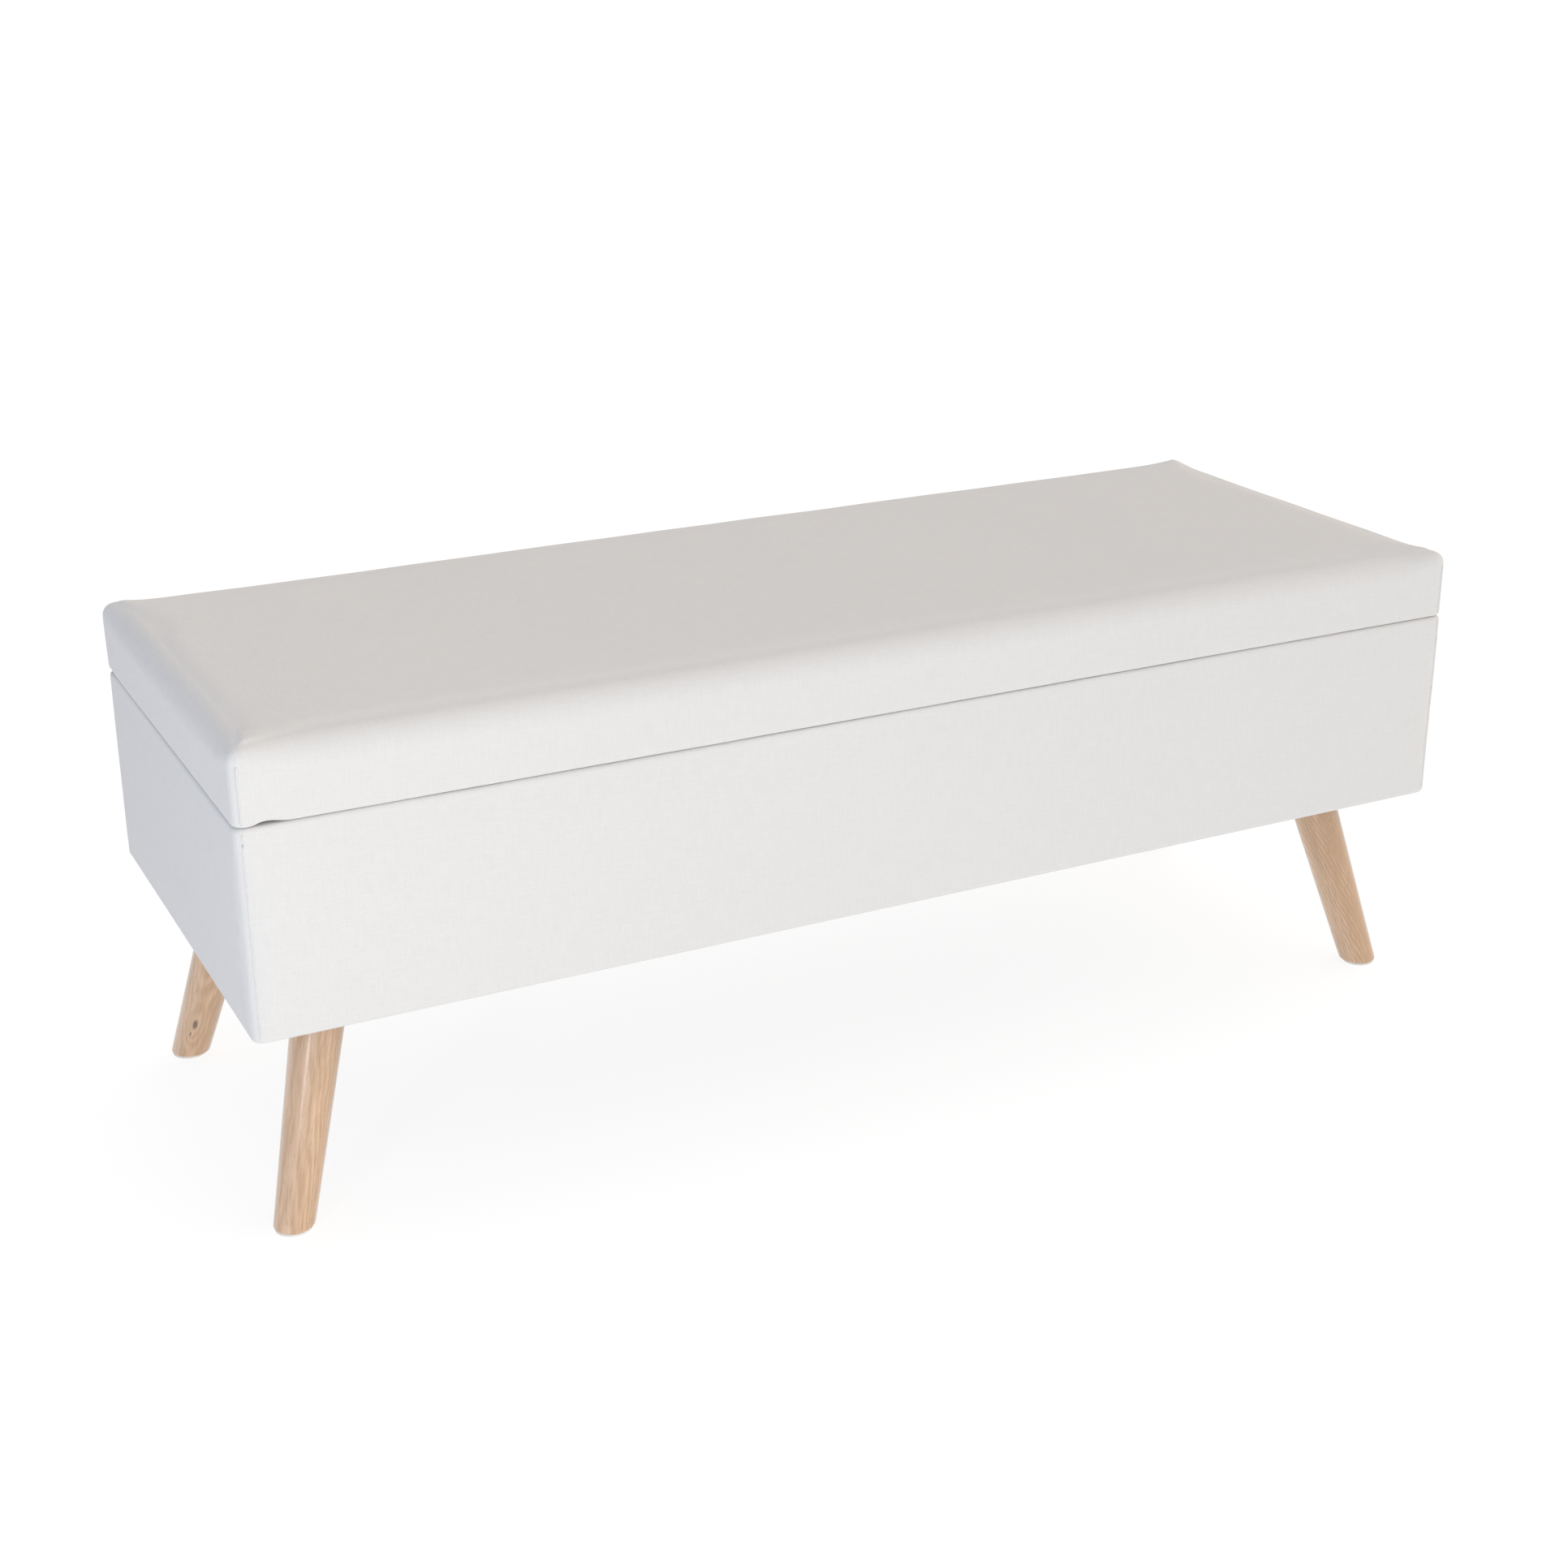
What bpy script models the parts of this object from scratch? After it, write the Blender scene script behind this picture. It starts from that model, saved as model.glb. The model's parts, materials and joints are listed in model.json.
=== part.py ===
"""Storage bench: an upholstered box on four splayed legs, with a padded lid on two hinges.

Metres, +Z up.  The origin is on the floor, under the centre of the bench.  The bench's length runs
along X, its front faces -Y, and the lid opens at the front.
"""
import math

import bmesh
import bpy
from mathutils import Matrix, Vector

# ---- driving dimensions ----------------------------------------------------------------------------
LENGTH = 1.200            # upholstered box, end to end
DEPTH = 0.450             # upholstered box, front face to rear face
HEIGHT = 0.450            # floor to the top of the lid
BODY_BOTTOM = 0.200       # floor to the lower edge of the box
LID_THICKNESS = 0.063     # padded lid, underside to top
LID_GAP = 0.003           # shadow gap between the box and the lid

GAP = 0.0003              # clearance between pieces that touch
SOFT_GAP = 0.0010         # clearance round the foam
PAST = 0.010              # how far a cutter runs past what it cuts
PANEL = 0.015             # boards of the box
WADDING = 0.003           # fabric and wadding outside the boards
CLOTH = 0.0012            # plain cloth: turned-in edges, lining, dust cover
TURN_IN = 0.020           # how far the cover is turned down inside the box
BOTTOM_BOARD = 0.012      # floor board of the box
LEG_RECESS = 0.030        # space under the floor board, for the leg blocks

BODY_CORNER = 0.006       # radius of the box's upright edges
BODY_RIM = 0.004          # radius of the box's upper and lower edges
LID_CORNER = 0.012        # radius of the lid's upright edges
LID_ROUND = 0.026         # radius of the lid's soft upper edges
LID_RIM = 0.004           # radius of the lid's lower edges
LID_BOARD = 0.012
LID_TURN_UNDER = 0.025    # how far the lid's cover is turned under its board

LEG_FROM_END = 0.082      # the box's end to a leg's axis, at the height of the box's lower edge
LEG_FROM_FACE = 0.088     # the box's front or rear face to a leg's axis, at the same height
SPLAY_X = 0.053           # how much further out the foot stands on the floor
SPLAY_Y = 0.043
FOOT_RADIUS = 0.0175
LEG_RADIUS = 0.0240       # at the top of the leg
FOOT_ROUND = 0.003        # rounding of the foot's and the top's edge
SOCKET_DEPTH = 0.010      # the leg's top end stands this far inside its block, on its axis
BLOCK_REACH = 0.040       # leg block, from the leg's axis towards the middle of the bench
BOLT_RADIUS = 0.0040
BOLT_IN_LEG = 0.030
BOLT_IN_BLOCK = 0.013
GLIDE = 0.0025            # thickness of the pad under a foot
GLIDE_RADIUS = 0.0160
DUST_CLEAR = 0.0047       # between a leg and the edge of its hole in the dust cover

HINGE_FROM_END = 0.200    # the box's end to the centre of a hinge
HINGE_LENGTH = 0.070
LEAF_DEPTH = 0.022        # how far a leaf reaches in from the hinge axis
HINGE_KNUCKLE = 0.022     # length of each of the body leaf's two knuckles
KNUCKLE_RADIUS = 0.0035
KNUCKLE_OUT = 0.0005      # air between the rear face and the knuckle
PIN_RADIUS = 0.0016
PIN_PLAY = 0.0001         # running clearance round the hinge pin
PIN_HEAD = 0.0026
PIN_HEAD_LENGTH = 0.0012
HINGE_SCREW_X = 0.022     # each of a leaf's screws, from the hinge's centre
SCREW_RADIUS = 0.0017
SCREW_POINT = 0.002
SCREW_LENGTH = 0.010
SCREW_HEAD = 0.0034
SCREW_HEAD_DEPTH = 0.0022

STAY_ARM = 0.150          # pivot to pivot, the same for every side of the stay's rhombus
STAY_BODY_DROP = 14.0     # degrees below level, from the hinge axis to the pivot on the box
STAY_LID_DROP = 3.8       # degrees below level, from the hinge axis to the pivot on the lid
ARM_WIDTH = 0.016
ARM_THICK = 0.0020
STUD_RADIUS = 0.0025
STUD_PLAY = 0.0003
STUD_HEAD = 0.0045
STUD_HEAD_DEPTH = 0.0010
ARM_SPACE = 0.0005        # air between arms that pass each other
BRACKET_LENGTH = 0.040
BRACKET_SCREW_Y = 0.013   # each of a bracket's screws, from its pivot
BODY_BRACKET_RISE = 0.009
BODY_BRACKET_DROP = 0.021
BODY_SCREW_DROP = 0.015   # a body bracket's screws, below its pivot
LID_FLANGE = 0.022        # the lid bracket's flange, along X
LID_BRACKET_WALL = 0.0020
BUMPER_RADIUS = 0.005
BUMPER_FROM_END = 0.120   # the box's end to a lid bumper

ROUND = 24                # sides of a turned piece
SMALL_ROUND = 14          # sides of a screw or stud

# ---- what follows from them ------------------------------------------------------------------------
BODY_TOP = HEIGHT - LID_THICKNESS - LID_GAP
LID_BOTTOM = HEIGHT - LID_THICKNESS
KNUCKLE_PROUD = KNUCKLE_OUT + 2 * KNUCKLE_RADIUS
MID_Y = -KNUCKLE_PROUD / 2                   # the box's own centre, so that the whole bench is centred
FRONT = MID_Y - DEPTH / 2
REAR = MID_Y + DEPTH / 2
END = LENGTH / 2
LEG_TOP_X = END - LEG_FROM_END
LEG_TOP_Y = DEPTH / 2 - LEG_FROM_FACE
FOOT_X = LEG_TOP_X + SPLAY_X
FOOT_Y = LEG_TOP_Y + SPLAY_Y
HINGE_X = END - HINGE_FROM_END
BUMPER_X = END - BUMPER_FROM_END
BOARD_INSET = WADDING + GAP                  # outside of the cover to the outside of a board
INNER_END = END - BOARD_INSET - PANEL        # inner face of an end board
INNER_FRONT = FRONT + BOARD_INSET + PANEL
INNER_REAR = REAR - BOARD_INSET - PANEL
CLEAR_END = INNER_END - GAP - CLOTH          # inside face of the turned-in cover and the lining
CLEAR_FRONT = INNER_FRONT + GAP + CLOTH
CLEAR_REAR = INNER_REAR - GAP - CLOTH
FLOOR_BOTTOM = BODY_BOTTOM + LEG_RECESS
FLOOR_TOP = FLOOR_BOTTOM + BOTTOM_BOARD
HINGE_AXIS = Vector((0.0, REAR + KNUCKLE_OUT + KNUCKLE_RADIUS, BODY_TOP + LID_GAP / 2))
LID_BOARD_BOTTOM = LID_BOTTOM + CLOTH + GAP
LID_BOARD_TOP = LID_BOARD_BOTTOM + LID_BOARD
BLOCK_BOTTOM = BODY_BOTTOM + CLOTH + 2 * GAP
LEAF = (LID_GAP - 3 * GAP) / 2               # two leaves and three clearances fill the gap
BODY_LEAF_TOP = BODY_TOP + GAP + LEAF
LID_LEAF_BOTTOM = LID_BOTTOM - GAP - LEAF
HINGE_SCREW_Y = REAR - BOARD_INSET - PANEL / 2


def stay_point(drop):
    """The pivot at one arm's length from the hinge axis, drop degrees below level."""
    angle = math.radians(drop)
    return HINGE_AXIS + STAY_ARM * Vector((0.0, -math.cos(angle), -math.sin(angle)))


BODY_PIVOT = stay_point(STAY_BODY_DROP)
LID_PIVOT = stay_point(STAY_LID_DROP)
ELBOW = BODY_PIVOT + LID_PIVOT - HINGE_AXIS

# The stay's layers, counted inwards from the clear face of the end wall.
BRACKET_IN = GAP
BRACKET_OUT = BRACKET_IN + ARM_THICK
LOWER_IN = BRACKET_OUT + ARM_SPACE
LOWER_OUT = LOWER_IN + ARM_THICK
UPPER_IN = LOWER_OUT + ARM_SPACE
UPPER_OUT = UPPER_IN + ARM_THICK
FLANGE_IN = UPPER_OUT + ARM_SPACE

SIDES = {"left": -1, "right": 1}
CORNERS = {
    "front_left": (-1, -1),
    "front_right": (1, -1),
    "rear_left": (-1, 1),
    "rear_right": (1, 1),
}

# ---- scene helpers ---------------------------------------------------------------------------------
for leftover in list(bpy.data.objects):
    bpy.data.objects.remove(leftover, do_unlink=True)

PARTS = bpy.data.collections.new("storage_bench")
CUTTERS = bpy.data.collections.new("cutters")
bpy.context.scene.collection.children.link(PARTS)
bpy.context.scene.collection.children.link(CUTTERS)


def material(name, colour, roughness, metallic=0.0):
    """A plain Principled material."""
    made = bpy.data.materials.new(name)
    made.use_nodes = True
    shader = made.node_tree.nodes["Principled BSDF"]
    shader.inputs["Base Color"].default_value = (*colour, 1.0)
    shader.inputs["Roughness"].default_value = roughness
    shader.inputs["Metallic"].default_value = metallic
    return made


FINISHES = {
    "fabric": ((0.80, 0.79, 0.77), 0.95, 0.0),
    "lining": ((0.62, 0.61, 0.59), 0.95, 0.0),
    "black_cloth": ((0.05, 0.05, 0.05), 0.95, 0.0),
    "plywood": ((0.66, 0.50, 0.33), 0.70, 0.0),
    "leg_wood": ((0.62, 0.43, 0.25), 0.40, 0.0),
    "foam": ((0.85, 0.82, 0.70), 0.95, 0.0),
    "pad": ((0.80, 0.78, 0.74), 0.80, 0.0),
    "steel": ((0.62, 0.62, 0.63), 0.35, 1.0),
}


def finish(piece, kind):
    """Give a piece its own material, of one of the finishes above."""
    piece.data.materials.clear()
    piece.data.materials.append(material(f"{piece.name}_{kind}", *FINISHES[kind]))


def object_from(name, mesh, collection, at=(0.0, 0.0, 0.0)):
    """An object for a mesh, placed and linked into its collection."""
    made = bpy.data.objects.new(name, mesh)
    made.location = at
    collection.objects.link(made)
    if collection == CUTTERS:
        made.hide_render = True
        made.display_type = "WIRE"
    return made


def box(name, low, high, collection=PARTS):
    """A box between two corners, with its origin at its centre."""
    low = Vector(low)
    high = Vector(high)
    shape = bmesh.new()
    bmesh.ops.create_cube(shape, size=1.0)
    bmesh.ops.scale(shape, vec=high - low, verts=shape.verts)
    mesh = bpy.data.meshes.new(name)
    shape.to_mesh(mesh)
    shape.free()
    return object_from(name, mesh, collection, (low + high) / 2)


def rod(name, start, end, radius, collection=PARTS, sides=SMALL_ROUND, end_radius=None):
    """A cylinder or cone from start to end, with its origin at start and its local +Z along it."""
    start = Vector(start)
    end = Vector(end)
    length = (end - start).length
    shape = bmesh.new()
    bmesh.ops.create_cone(
        shape,
        cap_ends=True,
        segments=sides,
        radius1=radius,
        radius2=radius if end_radius is None else end_radius,
        depth=length,
        matrix=Matrix.Translation((0.0, 0.0, length / 2)),
    )
    mesh = bpy.data.meshes.new(name)
    shape.to_mesh(mesh)
    shape.free()
    mesh.shade_smooth()
    mesh.set_sharp_from_angle(angle=math.radians(40))
    made = object_from(name, mesh, collection, start)
    made.rotation_euler = (end - start).to_track_quat("Z", "Y").to_euler()
    return made


def turned(name, profile, at, along, collection=PARTS, sides=SMALL_ROUND):
    """A turned shape: (radius, height) pairs from its top end down, with its height along a direction."""
    mesh = bpy.data.meshes.new(name)
    points = [(radius, 0.0, height) for radius, height in profile]
    edges = [(index, index + 1) for index in range(len(points) - 1)]
    mesh.from_pydata(points, edges, [])
    made = object_from(name, mesh, collection, at)
    made.rotation_euler = Vector(along).to_track_quat("Z", "Y").to_euler()
    step = made.modifiers.new("turned", "SCREW")
    step.axis = "Z"
    step.angle = 2 * math.pi
    step.steps = sides
    step.render_steps = sides
    step.use_merge_vertices = True
    step.merge_threshold = 0.00001
    step.use_smooth_shade = True
    return made


def boolean(piece, other, operation):
    """Add an exact Boolean, and keep the other shape among the cutters."""
    step = piece.modifiers.new(f"{operation.lower()} {other.name}", "BOOLEAN")
    step.operation = operation
    step.solver = "EXACT"
    step.object = other
    return piece


def cut(piece, cutter):
    """Take a cutter away from a piece."""
    return boolean(piece, cutter, "DIFFERENCE")


def join(piece, other):
    """Add another shape to a piece."""
    return boolean(piece, other, "UNION")


def soften(piece, width, segments=2, limit=40.0):
    """Round the edges of a piece that are sharper than the limit in degrees."""
    step = piece.modifiers.new("soft edges", "BEVEL")
    step.width = width
    step.segments = segments
    step.limit_method = "ANGLE"
    step.angle_limit = math.radians(limit)
    return piece


def rounded_box(name, low, high, upright, top, bottom, segments=4, collection=PARTS):
    """A box whose upright, top and bottom edges each have their own radius."""
    made = box(name, low, high, collection)
    mesh = made.data
    widest = max(upright, top, bottom)
    weights = mesh.attributes.new("bevel_weight_edge", "FLOAT", "EDGE")
    for edge in mesh.edges:
        first, second = (mesh.vertices[index].co for index in edge.vertices)
        if abs(first.z - second.z) > GAP:
            radius = upright
        elif first.z > 0:
            radius = top
        else:
            radius = bottom
        weights.data[edge.index].value = radius / widest
    step = made.modifiers.new("rounded edges", "BEVEL")
    step.width = widest
    step.segments = segments
    step.limit_method = "WEIGHT"
    return made


def body_empty(name, at=(0.0, 0.0, 0.0)):
    """An empty that carries the pieces of one moving body, on its joint's axis."""
    made = bpy.data.objects.new(name, None)
    made.location = at
    made.empty_display_size = 0.05
    PARTS.objects.link(made)
    return made


def carry(pieces, carrier):
    """Parent pieces to a body's empty without moving them."""
    for piece in pieces:
        piece.parent = carrier
        piece.location = piece.location - carrier.location


# ---- screws, shared by the hinges and the stays ----------------------------------------------------
def screw(name, seat, out):
    """A countersunk screw: the top of its head is at seat, and out points away from the wood."""
    profile = [
        (0.0, 0.0),
        (SCREW_HEAD, 0.0),
        (SCREW_RADIUS, -SCREW_HEAD_DEPTH),
        (SCREW_RADIUS, SCREW_POINT - SCREW_LENGTH),
        (0.0, -SCREW_LENGTH),
    ]
    made = turned(name, profile, seat, out)
    finish(made, "steel")
    return made


def screw_hole(name, seat, out):
    """The hole for that screw, larger by the clearance all round and open above its head."""
    profile = [
        (0.0, GAP / 2),
        (SCREW_HEAD + GAP, GAP / 2),
        (SCREW_HEAD + GAP, 0.0),
        (SCREW_RADIUS + GAP, -SCREW_HEAD_DEPTH),
        (SCREW_RADIUS + GAP, SCREW_POINT - SCREW_LENGTH),
        (0.0, -SCREW_LENGTH - 2 * GAP),
    ]
    return turned(f"{name}_hole", profile, seat, out, CUTTERS)


def fasten(name, seat, out, through):
    """One screw, and its hole through each piece that it holds."""
    hole = screw_hole(name, seat, out)
    for piece in through:
        cut(piece, hole)
    return screw(name, seat, out)


# ---- the box ---------------------------------------------------------------------------------------
def board(name, low, high):
    """One wooden board of the box."""
    made = box(name, low, high)
    finish(made, "plywood")
    return made


def box_boards():
    """Front, rear and end boards, and the floor board between them."""
    outside = END - BOARD_INSET
    low = BODY_BOTTOM + BOARD_INSET
    high = BODY_TOP - BOARD_INSET
    boards = {}
    for name, start in (("front_panel", INNER_FRONT - PANEL), ("rear_panel", INNER_REAR)):
        boards[name] = board(name, (-outside, start, low), (outside, start + PANEL, high))
    for side, sign in SIDES.items():
        name = f"{side}_panel"
        near, far = sorted((sign * INNER_END, sign * outside))
        boards[name] = board(name, (near, INNER_FRONT + GAP, low), (far, INNER_REAR - GAP, high))
    boards["bottom_panel"] = board(
        "bottom_panel",
        (-INNER_END + GAP, INNER_FRONT + GAP, FLOOR_BOTTOM),
        (INNER_END - GAP, INNER_REAR - GAP, FLOOR_TOP),
    )
    return boards


def body_cover():
    """The upholstery of the box: a sleeve turned down inside its top edge and under its lower edge."""
    made = rounded_box(
        "body_cover",
        (-END, FRONT, BODY_BOTTOM),
        (END, REAR, BODY_TOP),
        BODY_CORNER,
        BODY_RIM,
        BODY_RIM,
    )
    boards = box(
        "board_space",
        (WADDING - END, FRONT + WADDING, BODY_BOTTOM + WADDING),
        (END - WADDING, REAR - WADDING, BODY_TOP - WADDING),
        CUTTERS,
    )
    turned_in = box(
        "turned_in_edge",
        (GAP - INNER_END, INNER_FRONT + GAP, BODY_TOP - TURN_IN),
        (INNER_END - GAP, INNER_REAR - GAP, BODY_TOP + PAST),
        CUTTERS,
    )
    inside = box(
        "inside_space",
        (-CLEAR_END, CLEAR_FRONT, BODY_BOTTOM - PAST),
        (CLEAR_END, CLEAR_REAR, BODY_TOP + PAST),
        CUTTERS,
    )
    cut(boards, turned_in)
    cut(made, boards)
    cut(made, inside)
    finish(made, "fabric")
    return made


def storage_lining():
    """The thin cloth over the floor and the inner faces of the boards."""
    made = box(
        "storage_lining",
        (GAP - INNER_END, INNER_FRONT + GAP, FLOOR_TOP + GAP),
        (INNER_END - GAP, INNER_REAR - GAP, BODY_TOP - TURN_IN - GAP),
    )
    inside = box(
        "lined_space",
        (-CLEAR_END, CLEAR_FRONT, FLOOR_TOP + GAP + CLOTH),
        (CLEAR_END, CLEAR_REAR, BODY_TOP + PAST),
        CUTTERS,
    )
    cut(made, inside)
    finish(made, "lining")
    return made


def dust_cover():
    """The thin cloth that closes the underside inside the turned-under edge, with a hole for each leg."""
    made = box(
        "dust_cover",
        (GAP - CLEAR_END, CLEAR_FRONT + GAP, BODY_BOTTOM + GAP),
        (CLEAR_END - GAP, CLEAR_REAR - GAP, BODY_BOTTOM + GAP + CLOTH),
    )
    for corner, (sx, sy) in CORNERS.items():
        foot, along, _ = leg_axis(sx, sy)
        centre = foot + along * (BODY_BOTTOM / along.z)
        radius = LEG_RADIUS / along.z + DUST_CLEAR
        up = Vector((0.0, 0.0, PAST))
        cut(made, rod(f"dust_hole_{corner}", centre - up, centre + up, radius, CUTTERS, ROUND))
    finish(made, "black_cloth")
    return made


def lid_bumper(side, sign):
    """A small pad on the box's front edge, which the closed lid rests on."""
    height = LID_GAP - 2 * GAP
    profile = [(0.0, height), (BUMPER_RADIUS, height), (BUMPER_RADIUS, 0.0), (0.0, 0.0)]
    centre = (sign * BUMPER_X, FRONT + BOARD_INSET + PANEL / 2, BODY_TOP + GAP)
    made = turned(f"lid_bumper_{side}", profile, centre, (0.0, 0.0, 1.0))
    finish(made, "pad")
    return made


# ---- legs ------------------------------------------------------------------------------------------
def leg_axis(sx, sy):
    """A leg's foot centre on the floor, its direction, and the distance to its top end."""
    foot = Vector((sx * FOOT_X, MID_Y + sy * FOOT_Y, 0.0))
    above = Vector((sx * LEG_TOP_X, MID_Y + sy * LEG_TOP_Y, BODY_BOTTOM))
    along = (above - foot).normalized()
    reach = (BLOCK_BOTTOM + SOCKET_DEPTH) / along.z
    return foot, along, reach


def leg(corner, sx, sy):
    """A tapered leg, cut level at the foot, with a hole for its bolt in the top end."""
    foot, along, reach = leg_axis(sx, sy)
    taper = (LEG_RADIUS - FOOT_RADIUS) / reach
    profile = [
        (0.0, reach),
        (LEG_RADIUS, reach),
        (FOOT_RADIUS - taper * PAST, -PAST),
        (0.0, -PAST),
    ]
    made = turned(f"leg_{corner}", profile, foot, along, sides=ROUND)
    below = box(
        f"below_foot_{corner}",
        foot - Vector((2 * LEG_RADIUS, 2 * LEG_RADIUS, 3 * PAST)),
        foot + Vector((2 * LEG_RADIUS, 2 * LEG_RADIUS, GLIDE + GAP)),
        CUTTERS,
    )
    cut(made, below)
    soften(made, FOOT_ROUND)
    cut(made, bolt_hole(corner, foot, along, reach))
    finish(made, "leg_wood")
    return made


def bolt_hole(corner, foot, along, reach):
    """The hole for a leg's bolt, in the leg and in its block."""
    start = foot + along * (reach - BOLT_IN_LEG - GAP)
    end = foot + along * (reach + BOLT_IN_BLOCK + GAP)
    return rod(f"bolt_hole_{corner}", start, end, BOLT_RADIUS + GAP, CUTTERS)


def leg_bolt(corner, sx, sy):
    """The hanger bolt between a leg and its block."""
    foot, along, reach = leg_axis(sx, sy)
    start = foot + along * (reach - BOLT_IN_LEG)
    end = foot + along * (reach + BOLT_IN_BLOCK)
    made = rod(f"leg_bolt_{corner}", start, end, BOLT_RADIUS)
    finish(made, "steel")
    return made


def leg_block(corner, sx, sy):
    """The block in the corner under the floor board, with a slanted socket for the leg's top end."""
    foot, along, reach = leg_axis(sx, sy)
    near_x = LEG_TOP_X - BLOCK_REACH
    near_y = LEG_TOP_Y - BLOCK_REACH
    far_x = CLEAR_END - GAP
    far_y = CLEAR_REAR - MID_Y - GAP
    low_x, high_x = sorted((sx * near_x, sx * far_x))
    low_y, high_y = sorted((MID_Y + sy * near_y, MID_Y + sy * far_y))
    made = box(
        f"leg_block_{corner}",
        (low_x, low_y, BLOCK_BOTTOM),
        (high_x, high_y, FLOOR_BOTTOM - GAP),
    )
    top = foot + along * (reach + GAP)
    socket_start = foot + along * (reach - 2 * LEG_RADIUS)
    cut(made, rod(f"socket_{corner}", socket_start, top, LEG_RADIUS + GAP, CUTTERS, ROUND))
    cut(made, bpy.data.objects[f"bolt_hole_{corner}"])
    finish(made, "plywood")
    return made


def foot_glide(corner, sx, sy):
    """The thin pale pad under a foot."""
    foot, _, _ = leg_axis(sx, sy)
    edge = GLIDE / 4
    profile = [
        (0.0, GLIDE),
        (GLIDE_RADIUS, GLIDE),
        (GLIDE_RADIUS, edge),
        (GLIDE_RADIUS - edge, 0.0),
        (0.0, 0.0),
    ]
    made = turned(f"foot_glide_{corner}", profile, foot, (0.0, 0.0, 1.0), sides=ROUND)
    finish(made, "pad")
    return made


# ---- the lid ---------------------------------------------------------------------------------------
def lid_board():
    """The plywood that carries the lid's foam, hinges and stays."""
    inset = WADDING + GAP
    made = rounded_box(
        "lid_board",
        (inset - END, FRONT + inset, LID_BOARD_BOTTOM),
        (END - inset, REAR - inset, LID_BOARD_TOP),
        LID_CORNER - WADDING,
        0.0,
        0.0,
    )
    finish(made, "plywood")
    return made


def lid_foam():
    """The foam pad on the lid's board."""
    inset = WADDING + SOFT_GAP
    made = rounded_box(
        "lid_foam",
        (inset - END, FRONT + inset, LID_BOARD_TOP + GAP),
        (END - inset, REAR - inset, HEIGHT - inset),
        LID_CORNER - WADDING,
        LID_ROUND - WADDING,
        0.0,
    )
    finish(made, "foam")
    return made


def lid_cover():
    """The lid's upholstery, round the foam and the board and turned under the board's edges."""
    made = rounded_box(
        "lid_cover",
        (-END, FRONT, LID_BOTTOM),
        (END, REAR, HEIGHT),
        LID_CORNER,
        LID_ROUND,
        LID_RIM,
    )
    filling = rounded_box(
        "lid_filling",
        (WADDING - END, FRONT + WADDING, LID_BOTTOM + CLOTH),
        (END - WADDING, REAR - WADDING, HEIGHT - WADDING),
        LID_CORNER - WADDING,
        LID_ROUND - WADDING,
        0.0,
        collection=CUTTERS,
    )
    under = box(
        "lid_underside",
        (LID_TURN_UNDER - END, FRONT + LID_TURN_UNDER, LID_BOTTOM - PAST),
        (END - LID_TURN_UNDER, REAR - LID_TURN_UNDER, LID_BOARD_BOTTOM),
        CUTTERS,
    )
    cut(made, filling)
    cut(made, under)
    finish(made, "fabric")
    return made


def lid_underside_cloth():
    """The cloth that covers the board inside the turned-under edge."""
    inset = LID_TURN_UNDER + GAP
    made = box(
        "lid_underside_cloth",
        (inset - END, FRONT + inset, LID_BOTTOM),
        (END - inset, REAR - inset, LID_BOTTOM + CLOTH),
    )
    finish(made, "lining")
    return made


# ---- hinges ----------------------------------------------------------------------------------------
def hinge_leaf(name, centre_x, low_z, knuckles):
    """A hinge leaf: a plate in the lid's gap, with knuckles on the hinge axis."""
    half = HINGE_LENGTH / 2
    axis_y = HINGE_AXIS.y
    plate_rear = axis_y - KNUCKLE_RADIUS - GAP
    made = box(
        name,
        (centre_x - half, axis_y - LEAF_DEPTH, low_z),
        (centre_x + half, plate_rear, low_z + LEAF),
    )
    for index, (start, end) in enumerate(knuckles):
        tab = box(
            f"{name}_tab_{index}",
            (centre_x + start, plate_rear - LEAF, low_z),
            (centre_x + end, axis_y, low_z + LEAF),
            CUTTERS,
        )
        barrel = rod(
            f"{name}_barrel_{index}",
            (centre_x + start, axis_y, HINGE_AXIS.z),
            (centre_x + end, axis_y, HINGE_AXIS.z),
            KNUCKLE_RADIUS,
            CUTTERS,
            ROUND,
        )
        join(made, tab)
        join(made, barrel)
    bore = rod(
        f"{name}_bore",
        (centre_x - half - PAST, axis_y, HINGE_AXIS.z),
        (centre_x + half + PAST, axis_y, HINGE_AXIS.z),
        PIN_RADIUS + PIN_PLAY,
        CUTTERS,
        ROUND,
    )
    cut(made, bore)
    finish(made, "steel")
    return made


def hinge_pin(side, centre_x):
    """The pin through a hinge's knuckles, with a small head at each end."""
    half = HINGE_LENGTH / 2
    under_head = half + GAP
    end = under_head + PIN_HEAD_LENGTH
    profile = [
        (0.0, end),
        (PIN_HEAD, end),
        (PIN_HEAD, under_head),
        (PIN_RADIUS, under_head),
        (PIN_RADIUS, -under_head),
        (PIN_HEAD, -under_head),
        (PIN_HEAD, -end),
        (0.0, -end),
    ]
    at = (centre_x, HINGE_AXIS.y, HINGE_AXIS.z)
    made = turned(f"hinge_pin_{side}", profile, at, (1.0, 0.0, 0.0), sides=ROUND)
    finish(made, "steel")
    return made


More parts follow.
